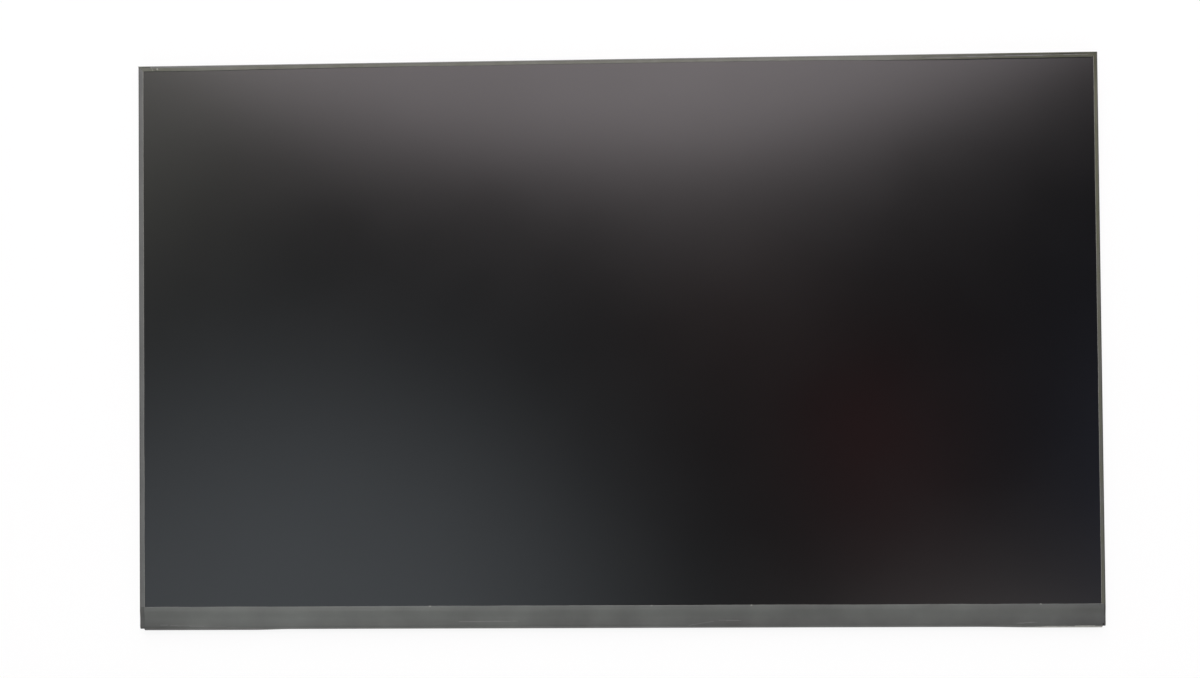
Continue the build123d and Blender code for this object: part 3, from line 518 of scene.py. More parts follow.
# %% Section of an edge tape
def arc(centre, radius, start, turn, steps):
    """Points and normals along part of a circle, in degrees."""
    angles = [math.radians(start + turn * step / steps) for step in range(steps + 1)]
    return [(centre[0] + radius * math.cos(a), centre[1] + radius * math.sin(a), math.cos(a), math.sin(a))
            for a in angles]


RIM_GAP = (0.45, 0.95)
HOLLOW = 0.03
FRONT_STEPS, CORNER_STEPS, FLAT_STEPS = 12, 6, 4


def edge_section(flap):
    """Glued face of an edge tape as (inset, height, normal), from the screen round to the rear plate."""
    front = []
    for step in range(FRONT_STEPS):
        inset = flap + (TAPE + BEND - flap) * step / FRONT_STEPS
        across = (inset - RIM_GAP[0]) / (RIM_GAP[1] - RIM_GAP[0])
        sag = HOLLOW * math.sin(math.pi * across) if 0 < across < 1 else 0.0
        front.append((inset, FRONT - sag, 0.0, 1.0))
    over = arc((TAPE + BEND, FRONT - BEND), BEND, 90, 90, CORNER_STEPS)
    under = arc((TAPE + BEND, REAR + BEND), BEND, 180, 90, CORNER_STEPS)
    foot, drop = under[0][1], over[-1][1] - under[0][1]
    wall = [(TAPE, foot + drop * step / FLAT_STEPS, -1.0, 0.0) for step in range(FLAT_STEPS - 1, 0, -1)]
    reach = REAR_FLAP - TAPE - BEND
    rear = [(TAPE + BEND + reach * step / FLAT_STEPS, REAR, 0.0, -1.0) for step in range(1, FLAT_STEPS + 1)]
    return front + over + wall + under + rear


print("section of", len(edge_section(1.8)), "points")


# %% Creases
MARK_FROM = 0.35
WANDER = 0.12
END_WIDTH = 0.5


def crease_at(along, inset, creases):
    """How far a crease lifts the tape at a point, in millimetres, and the mark that shows there."""
    lift, look = 0.0, None
    for start, end, height, width, mark in creases:
        run = (end[0] - start[0], end[1] - start[1])
        share = ((along - start[0]) * run[0] + (inset - start[1]) * run[1]) / (run[0] ** 2 + run[1] ** 2)
        share = min(max(share, 0.0), 1.0)
        wave = WANDER * ripple(along, start[0], 5.0)
        gap = math.hypot(along - start[0] - share * run[0], inset - start[1] - share * run[1] - wave)
        taper = END_WIDTH + (1 - END_WIDTH) * math.sin(math.pi * share)
        strength = max(0.0, 1 - gap / (width * taper)) ** 2
        lift = max(lift, height * strength)
        if strength > MARK_FROM:
            look = mark
    return lift, look


# Creases at the upper left: painted highlights on two pleats, painted shade in two creases.
left_pleats = [((west + 4.6, 0.6), (west + 4.6, 1.9), 0.05, 0.5, HIGHLIGHT),
               ((west + 6.8, 1.0), (west + 7.0, 1.7), 0.05, 0.9, HIGHLIGHT),
               ((west + 5.8, 1.5), (west + 5.9, 1.9), 0.0, 0.5, SHADED),
               ((west + 0.8, 0.45), (west + 4.0, 0.5), 0.0, 0.5, SHADED)]
# A long fold at the upper right: a soft painted highlight on its ridge, painted shade in its groove, and a
# painted shadow where it runs out to the corner.
right_tuck = [((east - 62.0, 1.6), (east - 3.0, 1.2), 0.02, 0.35, SOFT_HIGHLIGHT),
              ((east - 64.0, 1.15), (east - 12.0, 0.86), 0.0, 0.55, SHADED),
              ((east - 17.0, 0.88), (east - 0.2, 0.6), 0.0, 0.4, SHADOW)]
print(len(left_pleats), "creases at the upper left and", len(right_tuck), "at the upper right")


# %% Rims, cuts and flaps
CUT_SLOPE = 0.1
UPPER_CUT, CUT_WANDER = 0.05, 0.04
LEFT_CUT_EXTRA, RIGHT_CUT_EXTRA = 0.08, 0.34
LEFT_FLAP, RIGHT_FLAP, UPPER_FLAP = 1.85, 1.5, 1.62
LEFT_FLAP_EXTRA, RIGHT_FLAP_EXTRA = 0.42, 0.66
RIM, RIM_EXTRA = 0.47, 0.36
EAR = 0.28


def even_cut(along):
    """A cut with the same slope all along."""
    return CUT_SLOPE


def slanted_cut(along):
    """The slanted cut of the upper tape carries a painted shadow line and widens towards its ends, most at
    the right.
    """
    wander = CUT_WANDER * ripple(along, 15.0, 30.0)
    left, right = ease(along, west + 120, west + 60), ease(along, 90, 135)
    return UPPER_CUT + wander + LEFT_CUT_EXTRA * left + RIGHT_CUT_EXTRA * right


def upper_flap(along):
    """The upper tape was pulled tight in its middle and reaches further onto the screen near its ends."""
    left, right = ease(along, west + 115, west + 25), ease(along, 50, 130)
    return UPPER_FLAP + LEFT_FLAP_EXTRA * left + RIGHT_FLAP_EXTRA * right


def even_rim(along):
    """The rounded rim, which carries the bend's painted shade, is equally wide all along."""
    return RIM


def highlight_rim(along):
    """The soft painted highlight on the upper tape's rim reaches further in near its left end."""
    return RIM + RIM_EXTRA * ease(along, west + 46, west + 26)


def upper_bend(along):
    """The upper tape's bend carries a soft painted highlight, except near the left corner and towards the
    right end.
    """
    return SOFT_HIGHLIGHT if west + 4 < along < east - 40 else 0


def upper_place(inset, along, height):
    """A point of the upper tape. Its left end is folded over the corner and stands out as a small ear."""
    ear = EAR * ease(along, west + 1.4, west + 0.2) * ease(inset, 1.1, 0.4)
    return (along - ear, north - inset, height)


widths = [round(upper_flap(along), 2) for along in (west, 0.0, east)]
print("upper tape", widths, "mm wide at its left end, middle and right end")

# %% Sweep an edge tape
MITRE_GAP = 0.025
MITRE_REACH = 8.0
FINE_STRETCH, FINE_STEP, COARSE_STEP = 10.0, 0.2, 1.5
EDGE_WANDER, EDGE_RIPPLE = 0.07, 0.03
GLUE_LUMP = 0.012


def lay_edge_tape(name, film, flap, seed, run, to_place, mitred, bend_mark, edge_mark=HIGHLIGHT,
                  cut_slope=even_cut, creases=(), rim=even_rim):
    """Sweeps the section along a run. The ends named in mitred are cut at 45 degrees."""
    fine = np.arange(0.0, FINE_STRETCH, FINE_STEP)
    middle = np.arange(run[0] + FINE_STRETCH, run[1] - FINE_STRETCH, COARSE_STEP)
    outer, inner, looks = [], [], []
    for along in np.concatenate([run[0] + fine, middle, run[1] - fine[::-1]]):
        wide = flap(along) + EDGE_WANDER * ripple(along, seed, 17.0)
        width = wide + EDGE_RIPPLE * ripple(along, seed + 3, 4.0)
        outer_row, inner_row, look_row = [], [], []
        for step, (inset, height, out, up) in enumerate(edge_section(width)):
            lift, look = crease_at(along, inset, creases) if up > 0.5 and step else (0.0, None)
            if up > 0.99 and step:
                lift += GLUE_LUMP * max(0.0, ripple(along + 5 * inset, seed + 7, 3.5))
            # The rim and the bend take the bend mark: painted shade on the side tapes, a soft painted
            # highlight on the upper tape.
            flat = bend_mark(along) if inset < rim(along) or up < 0.9 else 0
            look_row.append(flat if look is None else look)
            slope = cut_slope(along) * max(0.0, 1 - step / FRONT_STEPS)
            for row, depth, level in ((inner_row, inset, height + lift),
                                      (outer_row, inset - slope + TAPE * out, height + lift + TAPE * up)):
                place = along
                for end, sign in ((run[0], 1), (run[1], -1)):
                    reach = abs(along - end)
                    if end in mitred and reach < MITRE_REACH:
                        place += sign * (depth + MITRE_GAP) * (1 - reach / MITRE_REACH)
                row.append(to_place(depth, place, level))
        outer.append(outer_row)
        inner.append(inner_row)
        looks.append(look_row)
    kept = np.ones((len(outer) - 1, len(outer[0]) - 1), bool)
    points, faces, marks = thick_sheet(outer, inner, kept,
                                       lambda row, column: looks[row][column], edge_mark)
    piece = add_piece(name + "_film", points, faces, (film, *tape_finishes), marks, (name,))


# %% Lay the edge tapes
STRIP_GAP = 0.05
side_run = (south + STRIP_TOP + STRIP_GAP, north)
# The side tapes' bends carry painted shade, and their cut edges a painted highlight.
lay_edge_tape("left_edge_tape", matte_tape, lambda along: LEFT_FLAP, 1.0, side_run,
              lambda inset, along, height: (west + inset, along, height), side_run[1:],
              lambda along: TONE_AND_SHADE)
lay_edge_tape("right_edge_tape", right_tape, lambda along: RIGHT_FLAP, 2.0, side_run,
              lambda inset, along, height: (east - inset, along, height), side_run[1:],
              lambda along: SHADED)
# The upper tape's bend carries a soft painted highlight, and its cut inner edge a painted shadow line.
lay_edge_tape("top_edge_tape", top_tape, upper_flap, 3.0, (west, east), upper_place, (west, east),
              upper_bend, SHADOW, slanted_cut, left_pleats + right_tuck, highlight_rim)

# %% [markdown]
# ## Cover tape
# The wide strip along the lower edge hides the driver films. It starts on the screen, steps down to the
# films, turns round the edge in a half circle and sticks to the board. Its fold is cut short of both
# corners, and a narrow cheek beside each end wraps the corner. Rows of one grid follow the strip from the
# screen to the board, columns run from side to side, and cells outside the cut are left out.

# %% Path of the cover tape
LEDGE_DROP = 0.31
fold_top = FRONT - LEDGE_DROP
FOLD = (1.405, 2.225)
FOLD_RADIUS = fold_top - FOLD[1]
STEP_TOP, STEP_FOOT = 7.25, 4.005
REAR_END = 7.6
ROW = 0.15
SCREEN_ROWS, SLOPE_ROWS = 8, 17
LEDGE_STEPS, BEND_STEPS, REAR_STEPS = 18, 24, 6


def cover_path():
    """Glued face of the cover tape as (up from the edge, height, normal), from the screen to the board."""
    screen = [(STRIP_TOP - ROW * step, FRONT, 0.0, 1.0) for step in range(SCREEN_ROWS)]
    slope = []
    for step in range(SLOPE_ROWS):
        up = STEP_TOP + (STEP_FOOT - STEP_TOP) * step / (SLOPE_ROWS - 1)
        drop = (FRONT - fold_top) * ease(up, STEP_TOP, STEP_FOOT)
        slope.append((up, FRONT - drop, 0.0, 1.0))
    ledge = [(STEP_FOOT + (FOLD[0] - STEP_FOOT) * step / LEDGE_STEPS, fold_top, 0.0, 1.0)
             for step in range(1, LEDGE_STEPS)]
    bend = arc(FOLD, FOLD_RADIUS, 90, 180, BEND_STEPS)
    reach, low = REAR_END - FOLD[0], FOLD[1] - FOLD_RADIUS
    rear = [(FOLD[0] + reach * step / REAR_STEPS, low, 0.0, -1.0) for step in range(1, REAR_STEPS + 1)]
    return screen + slope + ledge + bend + rear


path = cover_path()
FRONT_ROWS = SCREEN_ROWS + SLOPE_ROWS + LEDGE_STEPS - 1
print("cover tape path of", len(path), "points,", FRONT_ROWS, "of them in front")

# %% Relief of the strip
film_boxes = [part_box(f"source_film_{number}") for number in (1, 2, 3, 4)]
film_spans = [(low.x / MM, high.x / MM) for low, high in film_boxes]
LOOSE_FOLD = 0.28
DIP, SWELL = 0.05, 0.02
WANDER_ROWS, STRIP_RIPPLE = 3, 0.04
SEEN_ROWS = FRONT_ROWS + BEND_STEPS // 2
# Soft painted highlights on the strip's creases, and painted highlights on small nicks in its upper edge.
strip_creases = [((west + 8.0, 1.75), (west + 45.0, 0.65), 0.02, 0.24, SOFT_HIGHLIGHT),
                 ((-58.0, 2.7), (-36.0, 2.75), 0.03, 0.5, SOFT_HIGHLIGHT),
                 ((24.5, 0.9), (34.5, 2.5), 0.02, 0.22, SOFT_HIGHLIGHT),
                 ((37.0, 2.85), (45.0, 2.85), 0.02, 0.32, SOFT_HIGHLIGHT),
                 ((143.5, 1.5), (150.5, 1.8), 0.03, 0.45, SOFT_HIGHLIGHT)]
strip_nicks = [-68.4, 12.3, 48.4, 152.2]
strip_creases += [((x - 0.1, STRIP_TOP - 0.1), (x + 0.1, STRIP_TOP - 0.1), 0.03, 0.9, HIGHLIGHT)
                  for x in strip_nicks]
FRAY = 0.22
FLANK = 3.0


def film_relief(x):
    """1 over a driver film and 0 in the gaps between them, with soft flanks."""
    return max(ease(x, low - FLANK, low + FLANK) * ease(x, high + FLANK, high - FLANK)
               for low, high in film_spans)


def strip_point(row, x):
    """Glued and printed points of the strip at a row and a place across."""
    up, height, out, rise = path[row]
    if FOLD[0] < up < STEP_TOP and rise > 0.5:
        fade = ease(up, FOLD[0], FOLD[0] + 1.0) * ease(up, STEP_TOP, STEP_TOP - 1.5)
        height += fade * (SWELL * ripple(x + 2 * up, 9.0, 9.0) - DIP * (1 - film_relief(x)))
    if row < WANDER_ROWS:
        wander = EDGE_WANDER * ripple(x, 5.0, 14.0) + STRIP_RIPPLE * ripple(x, 6.0, 3.0)
        up += wander * (1 - row / WANDER_ROWS)
    if row == 0 and x in strip_nicks:
        up += FRAY
    loose = LOOSE_FOLD * (ease(x, west + 56, west + 42) + ease(x, east - 46, east - 22))
    bulge = loose * max(0.0, -out)
    slope = CUT_SLOPE if row == 0 else 0.0
    lift, _ = crease_at(x, up, strip_creases) if 0 < row < SEEN_ROWS else (0.0, None)
    glued = (x, south + up - bulge + lift * out, height + lift * rise)
    printed = (x, south + up - bulge - slope + (lift + TAPE) * out, height + (lift + TAPE) * rise)
    return glued, printed


over_film = sum(film_spans[0]) / 2
print("relief at the middle", round(film_relief(0.0), 2), "and over a film", film_relief(over_film))

# %% Lay the strip
LEFT_CUT, RIGHT_CUT = 1.6, 1.1
LEFT_CHEEK, RIGHT_CHEEK = 1.53, 0.6
SEAM = 0.09
NICK = 0.35
LINER_START, LINER_FULL = 40.0, 18.0
LINER_FIRST, LINER_RISE, LINER_LAST = 11, 7, 13
LEFT_COLUMN, RIGHT_COLUMN, COLUMN = 2.2, 1.6, 0.9
strip_xs = [west + LEFT_CUT, *np.arange(west + LEFT_COLUMN, east - RIGHT_COLUMN, COLUMN),
            east - RIGHT_CUT, east - RIGHT_CHEEK - SEAM]
strip_xs = sorted(strip_xs + [x + side for x in strip_nicks for side in (-NICK, 0.0, NICK)])
strip_grid = [[strip_point(row, x) for x in strip_xs] for row in range(len(path))]
kept = np.ones((len(path) - 1, len(strip_xs) - 1), bool)
kept[FRONT_ROWS:, -1:] = False


def strip_mark(row, column):
    """The creases' painted highlights, and the pale liner that shows at the right end of the fold."""
    x, turn = (strip_xs[column] + strip_xs[column + 1]) / 2, row - FRONT_ROWS
    liner_row = LINER_FIRST - LINER_RISE * ease(x, east - LINER_START, east - LINER_FULL)
    if x > east - LINER_START and liner_row + 0.8 * ripple(x, 13.0, 5.0) <= turn <= LINER_LAST:
        return LINER
    _, look = crease_at(x, (path[row][0] + path[row + 1][0]) / 2, strip_creases)
    return look if look and row < SEEN_ROWS else 0


printed_face = [[printed for glued, printed in row] for row in strip_grid]
glued_face = [[glued for glued, printed in row] for row in strip_grid]
# The strip's cut edges carry a soft painted highlight. The faces counted below are its painted highlights
# and the liner.
points, faces, marks = thick_sheet(printed_face, glued_face, kept, strip_mark, SOFT_HIGHLIGHT)
print("strip of", len(strip_xs), "columns,", sum(mark > 0 for mark in marks), "worn faces")

# %% Wrap the cheeks and join them to the strip
CHEEK_TURN = 7
CHEEK_FLAT = 7


def cheek_grids(edge, sign, width):
    """Printed and glued grids of one cheek, from the rear up the side and onto the front."""
    printed, glued = [], []
    for row in range(FRONT_ROWS + CHEEK_TURN):
        up, height, out, rise = path[row]
        top = height - BEND
        wall = [(TAPE, REAR + (top - REAR) * step / 3, -1.0, 0.0) for step in range(3)]
        bend = arc((TAPE + BEND, top), BEND, 180, -90, 5)
        flat = [(TAPE + BEND + (width - TAPE - BEND) * step / 2, height, 0.0, 1.0) for step in (1, 2)]
        section = wall + bend + flat
        glued.append([(edge + sign * u, south + up, z) for u, z, _, _ in section])
        printed.append([(edge + sign * (u + TAPE * side),
                         south + up + TAPE * out * lift, z + TAPE * rise * lift)
                        for u, z, side, lift in section])
    return printed, glued


for edge, sign, width in ((west, 1, LEFT_CHEEK), (east, -1, RIGHT_CHEEK)):
    printed, glued = cheek_grids(edge, sign, width)
    kept = np.ones((len(printed) - 1, len(printed[0]) - 1), bool)
    # Painted shade on the cheeks' walls, bends and cut edges. Their flats have a darker tone of the tape.
    more_points, more_faces, more_marks = thick_sheet(
        printed, glued, kept, lambda row, column: TONE_AND_SHADE if column >= CHEEK_FLAT else SHADED, SHADED)
    faces += [[len(points) + corner for corner in face] for face in more_faces]
    points += more_points
    marks += more_marks
cover = add_piece("cover_tape_film", points, faces, (strip_tape, *tape_finishes), marks, ("cover_tape",))

# %% [markdown]
# ## Frame, plate and optical layers
# Most of these layers are hidden once the panel is taped shut, and they keep their CAD meshes. Each one
# still gets its own finish, so a reader who takes the panel apart finds the right material in every
# layer.

# %% Dress the frame and the rear plate
frame_plastic = new_finish("moulded_black_frame", IOR=1.5)
tint(frame_plastic, cloud(frame_plastic, 6.0), ((0.014, 0.014, 0.015), (0.024, 0.024, 0.025)))
gloss(frame_plastic, cloud(frame_plastic, 1.2), 0.45, 0.6)
grain(frame_plastic, cloud(frame_plastic, 0.2, 1.0), 6.0)
dress(frame_plastic, "mold_frame")

rolled_plate = new_finish("rolled_plate", Metallic=1.0)
tint(rolled_plate, cloud(rolled_plate, 0.7, 4.0, (0.02, 1, 1)), ((0.58, 0.59, 0.60), (0.66, 0.67, 0.67)))
gloss(rolled_plate, cloud(rolled_plate, 0.5, 3.0, (0.02, 1, 1)), 0.30, 0.42)
grain(rolled_plate, cloud(rolled_plate, 0.3, 2.0, (0.03, 1, 1)), 1.5)
dress(rolled_plate, "rear_plate")

# %% Dress the glass and the films
cell_glass = new_finish("cell_glass", IOR=1.52, Roughness=0.02, Transmission_Weight=0.9)
tint(cell_glass, cloud(cell_glass, 60.0), ((0.72, 0.80, 0.78), (0.78, 0.85, 0.83)))
dress(cell_glass, "filter_glass", "array_glass")

rear_film = new_finish("rear_polarizer_film", IOR=1.5)
tint(rear_film, cloud(rear_film, 50.0), ((0.020, 0.021, 0.024), (0.030, 0.031, 0.034)))
gloss(rear_film, cloud(rear_film, 20.0), 0.15, 0.25)
dress(rear_film, "rear_polarizer")

ribbed_film = new_finish("ribbed_film", IOR=1.56, Roughness=0.2)
tint(ribbed_film, cloud(ribbed_film, 30.0), ((0.74, 0.76, 0.77), (0.82, 0.83, 0.84)))
ribs = ribbed_film.node_tree.nodes.new("ShaderNodeTexWave")
ribs.bands_direction = "X"
ribs.inputs["Scale"].default_value = 1500.0
ribbed_film.node_tree.links.new(own_place(ribbed_film), ribs.inputs["Vector"])
grain(ribbed_film, ribs.outputs["Fac"], 12.0)
dress(ribbed_film, "upper_prism_sheet", "lower_prism_sheet")

milky_film = new_finish("milky_film", IOR=1.5)
tint(milky_film, cloud(milky_film, 40.0), ((0.80, 0.80, 0.79), (0.86, 0.86, 0.85)))
gloss(milky_film, cloud(milky_film, 0.5), 0.5, 0.7)
grain(milky_film, cloud(milky_film, 0.08, 1.0), 3.0)
dress(milky_film, "diffuser_sheet", "reflector_sheet")

clear_guide = new_finish("clear_guide", IOR=1.49, Roughness=0.04, Transmission_Weight=0.85)
dots = clear_guide.node_tree.nodes.new("ShaderNodeTexVoronoi")
dots.inputs["Scale"].default_value = 900.0
clear_guide.node_tree.links.new(own_place(clear_guide), dots.inputs["Vector"])
tint(clear_guide, dots.outputs["Distance"], ((0.97, 0.97, 0.97), (0.86, 0.93, 0.94)), 0.2, 0.3)
dress(clear_guide, "light_guide")

soft_glue = new_finish("soft_glue", IOR=1.46)
tint(soft_glue, cloud(soft_glue, 2.0), ((0.10, 0.10, 0.10), (0.16, 0.16, 0.155)))
gloss(soft_glue, cloud(soft_glue, 0.6), 0.4, 0.7)
dress(soft_glue, "cell_tape", "board_tape")

# %% [markdown]
# ## Circuit board and its chips
# The board's lacquer is dark green, lighter where copper lies under it. Real traces run in bundles that
# turn at right angles. Square cells with a random number each decide whether their bundle runs along or
# across, a wave gives the lines, and round cells give the gold rings of the vias. The chips are black
# epoxy with a fine moulded grain.

# %% Dress the board
def line_bands(finish, axis, pitch):
    """Stripes across an axis, this many millimetres apart."""
    bands = finish.node_tree.nodes.new("ShaderNodeTexWave")
    bands.bands_direction = axis
    bands.inputs["Scale"].default_value = 2 * math.pi / (20 * pitch * MM)
    finish.node_tree.links.new(own_place(finish), bands.inputs["Vector"])
    return bands.outputs["Fac"]


def cells(finish, size, metric="EUCLIDEAN"):
    """A field of cells about this many millimetres wide, flat through the board."""
    field = finish.node_tree.nodes.new("ShaderNodeTexVoronoi")
    field.distance = metric
    field.inputs["Scale"].default_value = 1000.0 / size
    finish.node_tree.links.new(own_place(finish, (1, 1, 0)), field.inputs["Vector"])
    return field


def pick(finish, driver, limit, below, above):
    """One value below a limit of the driver and another above it."""
    tree = finish.node_tree
    over = tree.nodes.new("ShaderNodeMath")
    over.operation = "GREATER_THAN"
    over.inputs[1].default_value = limit
    blend = tree.nodes.new("ShaderNodeMix")
    tree.links.new(driver, over.inputs[0])
    tree.links.new(over.outputs["Value"], blend.inputs[0])
    for socket, value in ((blend.inputs[2], below), (blend.inputs[3], above)):
        if isinstance(value, float):
            socket.default_value = value
        else:
            tree.links.new(value, socket)
    return blend.outputs[0]


green_lacquer = new_finish("green_lacquer", IOR=1.5)
blocks = cells(green_lacquer, 6.5, "CHEBYCHEV")
lot = green_lacquer.node_tree.nodes.new("ShaderNodeSeparateColor")
green_lacquer.node_tree.links.new(blocks.outputs["Color"], lot.inputs["Color"])
BARE, COPPER, RING = 0.2, 0.6, 1.0
along_bundles = line_bands(green_lacquer, "Y", 0.45)
across_bundles = line_bands(green_lacquer, "X", 0.5)
waves = pick(green_lacquer, lot.outputs["Red"], 0.45, along_bundles, across_bundles)
traces = pick(green_lacquer, waves, 0.5, BARE, COPPER)
layout = pick(green_lacquer, lot.outputs["Green"], 0.62, traces, COPPER)
vias = cells(green_lacquer, 2.6).outputs["Distance"]
layout = pick(green_lacquer, vias, 0.10, RING, layout)
layout = pick(green_lacquer, vias, 0.05, BARE, layout)
tint(green_lacquer, layout, ((0.006, 0.042, 0.018), (0.011, 0.078, 0.032), (0.34, 0.25, 0.10)), BARE, RING)
gloss(green_lacquer, cloud(green_lacquer, 1.5), 0.25, 0.38)
grain(green_lacquer, traces, 8.0)
dress(green_lacquer, "driver_board")

# %% Dress the chips
black_epoxy = new_finish("black_epoxy", IOR=1.55)
tint(black_epoxy, cloud(black_epoxy, 1.0, 3.0), ((0.010, 0.010, 0.011), (0.022, 0.022, 0.023)))
gloss(black_epoxy, cloud(black_epoxy, 0.4), 0.42, 0.6)
grain(black_epoxy, cloud(black_epoxy, 0.06, 1.0), 3.0)
dress(black_epoxy, "timing_controller", "power_chip", "level_shifter", "memory_chip", "backlight_driver")

bare_silicon = new_finish("bare_silicon", Metallic=0.7)
tint(bare_silicon, cloud(bare_silicon, 0.6), ((0.08, 0.085, 0.10), (0.13, 0.135, 0.15)))
gloss(bare_silicon, cloud(bare_silicon, 0.5), 0.12, 0.22)
dress(bare_silicon, "source_chip_1", "source_chip_2", "source_chip_3", "source_chip_4")

pressed_iron = new_finish("pressed_iron", IOR=1.6)
tint(pressed_iron, cloud(pressed_iron, 0.12, 2.0), ((0.035, 0.034, 0.033), (0.11, 0.108, 0.104)))
gloss(pressed_iron, cloud(pressed_iron, 0.3), 0.4, 0.65)
grain(pressed_iron, cloud(pressed_iron, 0.1, 1.0), 5.0)
dress(pressed_iron, "power_inductors")

# %% Dress the films, the lamps and the socket
amber_film = new_finish("amber_film", IOR=1.6)
lines = amber_film.node_tree.nodes.new("ShaderNodeTexWave")
lines.bands_direction = "X"
lines.inputs["Scale"].default_value = 900.0
amber_film.node_tree.links.new(own_place(amber_film), lines.inputs["Vector"])
tint(amber_film, lines.outputs["Fac"], ((0.20, 0.085, 0.016), (0.46, 0.20, 0.06)), 0.4, 0.6)
gloss(amber_film, cloud(amber_film, 1.0), 0.2, 0.35)
grain(amber_film, lines.outputs["Fac"], 6.0)
dress(amber_film, "source_film_1", "source_film_2", "source_film_3", "source_film_4", "led_flex")

yellow_phosphor = new_finish("yellow_phosphor", IOR=1.45)
tint(yellow_phosphor, cloud(yellow_phosphor, 0.1), ((0.72, 0.56, 0.09), (0.86, 0.74, 0.20)))
gloss(yellow_phosphor, cloud(yellow_phosphor, 0.3), 0.3, 0.5)
dress(yellow_phosphor, "backlight_leds")

ivory_plastic = new_finish("ivory_plastic", IOR=1.6)
tint(ivory_plastic, cloud(ivory_plastic, 1.0), ((0.60, 0.56, 0.46), (0.70, 0.66, 0.56)))
gloss(ivory_plastic, cloud(ivory_plastic, 0.4), 0.4, 0.55)
grain(ivory_plastic, cloud(ivory_plastic, 0.15, 1.0), 4.0)
dress(ivory_plastic, "connector_housing")

pressed_steel = new_finish("pressed_steel", Metallic=1.0)
tint(pressed_steel, cloud(pressed_steel, 0.5, 2.0, (0.1, 1, 1)), ((0.58, 0.57, 0.55), (0.70, 0.69, 0.67)))
gloss(pressed_steel, cloud(pressed_steel, 0.3, 2.0, (0.1, 1, 1)), 0.22, 0.36)
dress(pressed_steel, "connector_shell")

gold_plating = new_finish("gold_plating", Metallic=1.0)
tint(gold_plating, cloud(gold_plating, 0.4), ((0.80, 0.53, 0.20), (0.90, 0.64, 0.27)))
gloss(gold_plating, cloud(gold_plating, 0.3), 0.18, 0.3)
dress(gold_plating, "connector_contacts")

woven_foil = new_finish("woven_foil", Metallic=0.9)
weave = woven_foil.node_tree.nodes.new("ShaderNodeTexBrick")
weave.inputs["Scale"].default_value = 700.0
woven_foil.node_tree.links.new(own_place(woven_foil), weave.inputs["Vector"])
tint(woven_foil, cloud(woven_foil, 0.5, 3.0), ((0.42, 0.40, 0.37), (0.60, 0.58, 0.54)))
gloss(woven_foil, cloud(woven_foil, 0.6), 0.3, 0.48)
grain(woven_foil, weave.outputs["Fac"], 10.0)
dress(woven_foil, "ground_tape_1", "ground_tape_2")

# %% [markdown]
# ## Small parts with metal ends
# Capacitors, resistors and the fuse are ceramic bricks with tinned ends. In the frame each kind is one
# mesh, so the script first finds the separate bricks in it by joining points that share a face, and takes
# each brick's box. Then it sets a rounded body and two slightly larger caps into that box.

# %% Find the bricks
def bricks(name):
    """Boxes of the separate solids in a node, in millimetres, in a fixed order."""
    mesh = nodes[name].data
    keys = [tuple(round(value / MM, 4) for value in vertex.co) for vertex in mesh.vertices]
    parent = {key: key for key in keys}

    def root(key):
        while parent[key] != key:
            parent[key] = parent[parent[key]]
            key = parent[key]
        return key

    for polygon in mesh.polygons:
        first = root(keys[polygon.vertices[0]])
        for vertex in polygon.vertices[1:]:
            parent[root(keys[vertex])] = first
    groups = {}
    for key in parent:
        groups.setdefault(root(key), []).append(key)
    boxes = [(np.min(group, axis=0), np.max(group, axis=0)) for group in groups.values()]
    return sorted(boxes, key=lambda box: tuple(box[0]))


for name in ("ceramic_capacitors", "chip_resistors", "input_fuse", "rectifier_diodes"):
    print(name, len(bricks(name)))


# %% Build the bricks
def rounded_block(shell, low, high, bevel, mark):
    """Adds a box with rounded edges to a bmesh and marks its faces with a finish."""
    made = bmesh.ops.create_cube(shell, size=1.0)["verts"]
    for vertex in made:
        vertex.co = [low[axis] + (vertex.co[axis] + 0.5) * (high[axis] - low[axis]) for axis in range(3)]
    edges = list({edge for vertex in made for edge in vertex.link_edges})
    known = set(shell.faces) - {face for vertex in made for face in vertex.link_faces}
    bmesh.ops.bevel(shell, geom=edges, offset=bevel, segments=2, affect="EDGES", profile=0.5)
    for face in shell.faces:
        if face not in known:
            face.material_index = mark


CAP_GRIP = 0.8
BODY_BEVEL = 0.6


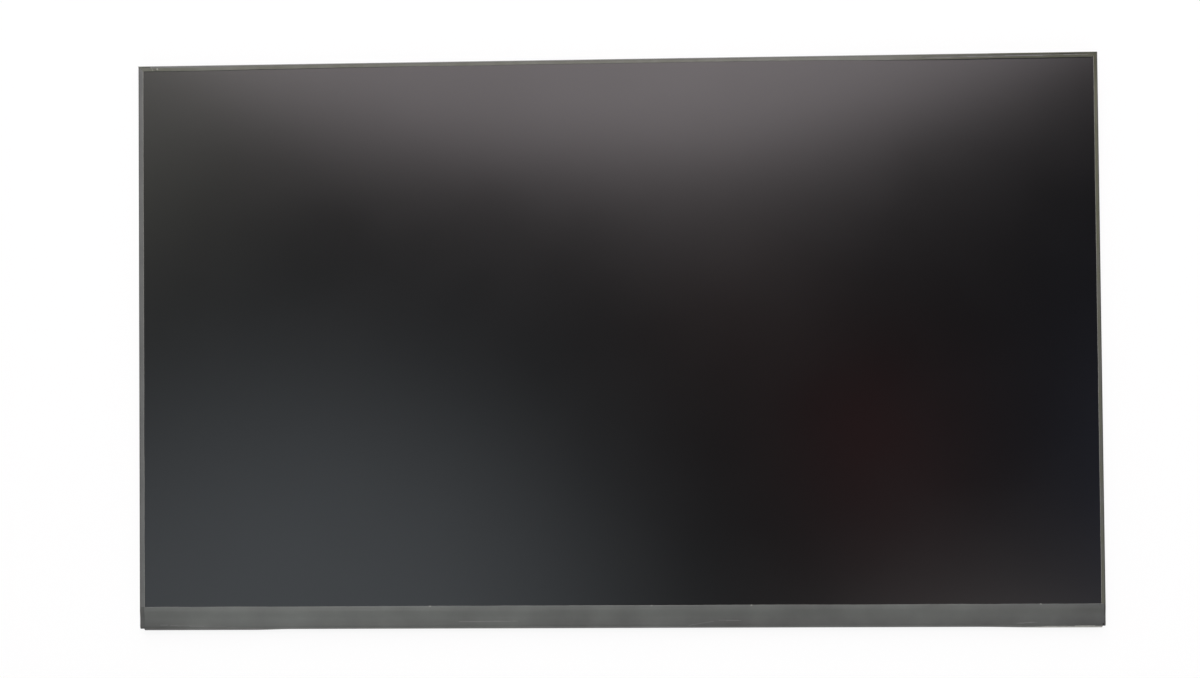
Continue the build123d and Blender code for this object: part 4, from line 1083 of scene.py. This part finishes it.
def end_capped(name, finishes, cap, skin, bevel):
    """Replaces a node of bricks by bodies with two metal caps each."""
    shell = bmesh.new()
    for low, high in bricks(name):
        axis = 0 if high[0] - low[0] > high[1] - low[1] else 1
        body_low, body_high = low + skin, high - skin
        body_low[axis], body_high[axis] = low[axis] + cap * CAP_GRIP, high[axis] - cap * CAP_GRIP
        rounded_block(shell, body_low, body_high, bevel * BODY_BEVEL, 0)
        for side in (0, 1):
            cap_low, cap_high = low.copy(), high.copy()
            if side:
                cap_low[axis] = high[axis] - cap
            else:
                cap_high[axis] = low[axis] + cap
            rounded_block(shell, cap_low, cap_high, bevel, 1)
    points = [tuple(vertex.co) for vertex in shell.verts]
    shell.verts.index_update()
    faces = [[vertex.index for vertex in face.verts] for face in shell.faces]
    marks = [face.material_index for face in shell.faces]
    shell.free()
    return add_piece(name + "_fitted", points, faces, finishes, marks, (name,))


tinned = new_finish("tinned_end", Metallic=1.0)
tint(tinned, cloud(tinned, 0.2), ((0.62, 0.61, 0.58), (0.76, 0.75, 0.72)))
gloss(tinned, cloud(tinned, 0.15), 0.25, 0.45)
brown_ceramic = new_finish("brown_ceramic", IOR=1.6)
tint(brown_ceramic, cloud(brown_ceramic, 0.3), ((0.30, 0.17, 0.085), (0.40, 0.25, 0.13)))
gloss(brown_ceramic, cloud(brown_ceramic, 0.2), 0.35, 0.5)
dark_glaze = new_finish("dark_glaze", IOR=1.55)
tint(dark_glaze, cloud(dark_glaze, 0.3), ((0.012, 0.012, 0.014), (0.03, 0.03, 0.034)))
gloss(dark_glaze, cloud(dark_glaze, 0.2), 0.25, 0.4)
pale_ceramic = new_finish("pale_ceramic", IOR=1.55)
tint(pale_ceramic, cloud(pale_ceramic, 0.3), ((0.55, 0.60, 0.50), (0.68, 0.72, 0.62)))
gloss(pale_ceramic, cloud(pale_ceramic, 0.2), 0.35, 0.5)

end_capped("ceramic_capacitors", (brown_ceramic, tinned), 0.22, 0.03, 0.05)
end_capped("chip_resistors", (dark_glaze, tinned), 0.22, 0.03, 0.03)
end_capped("input_fuse", (pale_ceramic, tinned), 0.22, 0.03, 0.04)
end_capped("rectifier_diodes", (black_epoxy, tinned), 0.35, 0.0, 0.05)
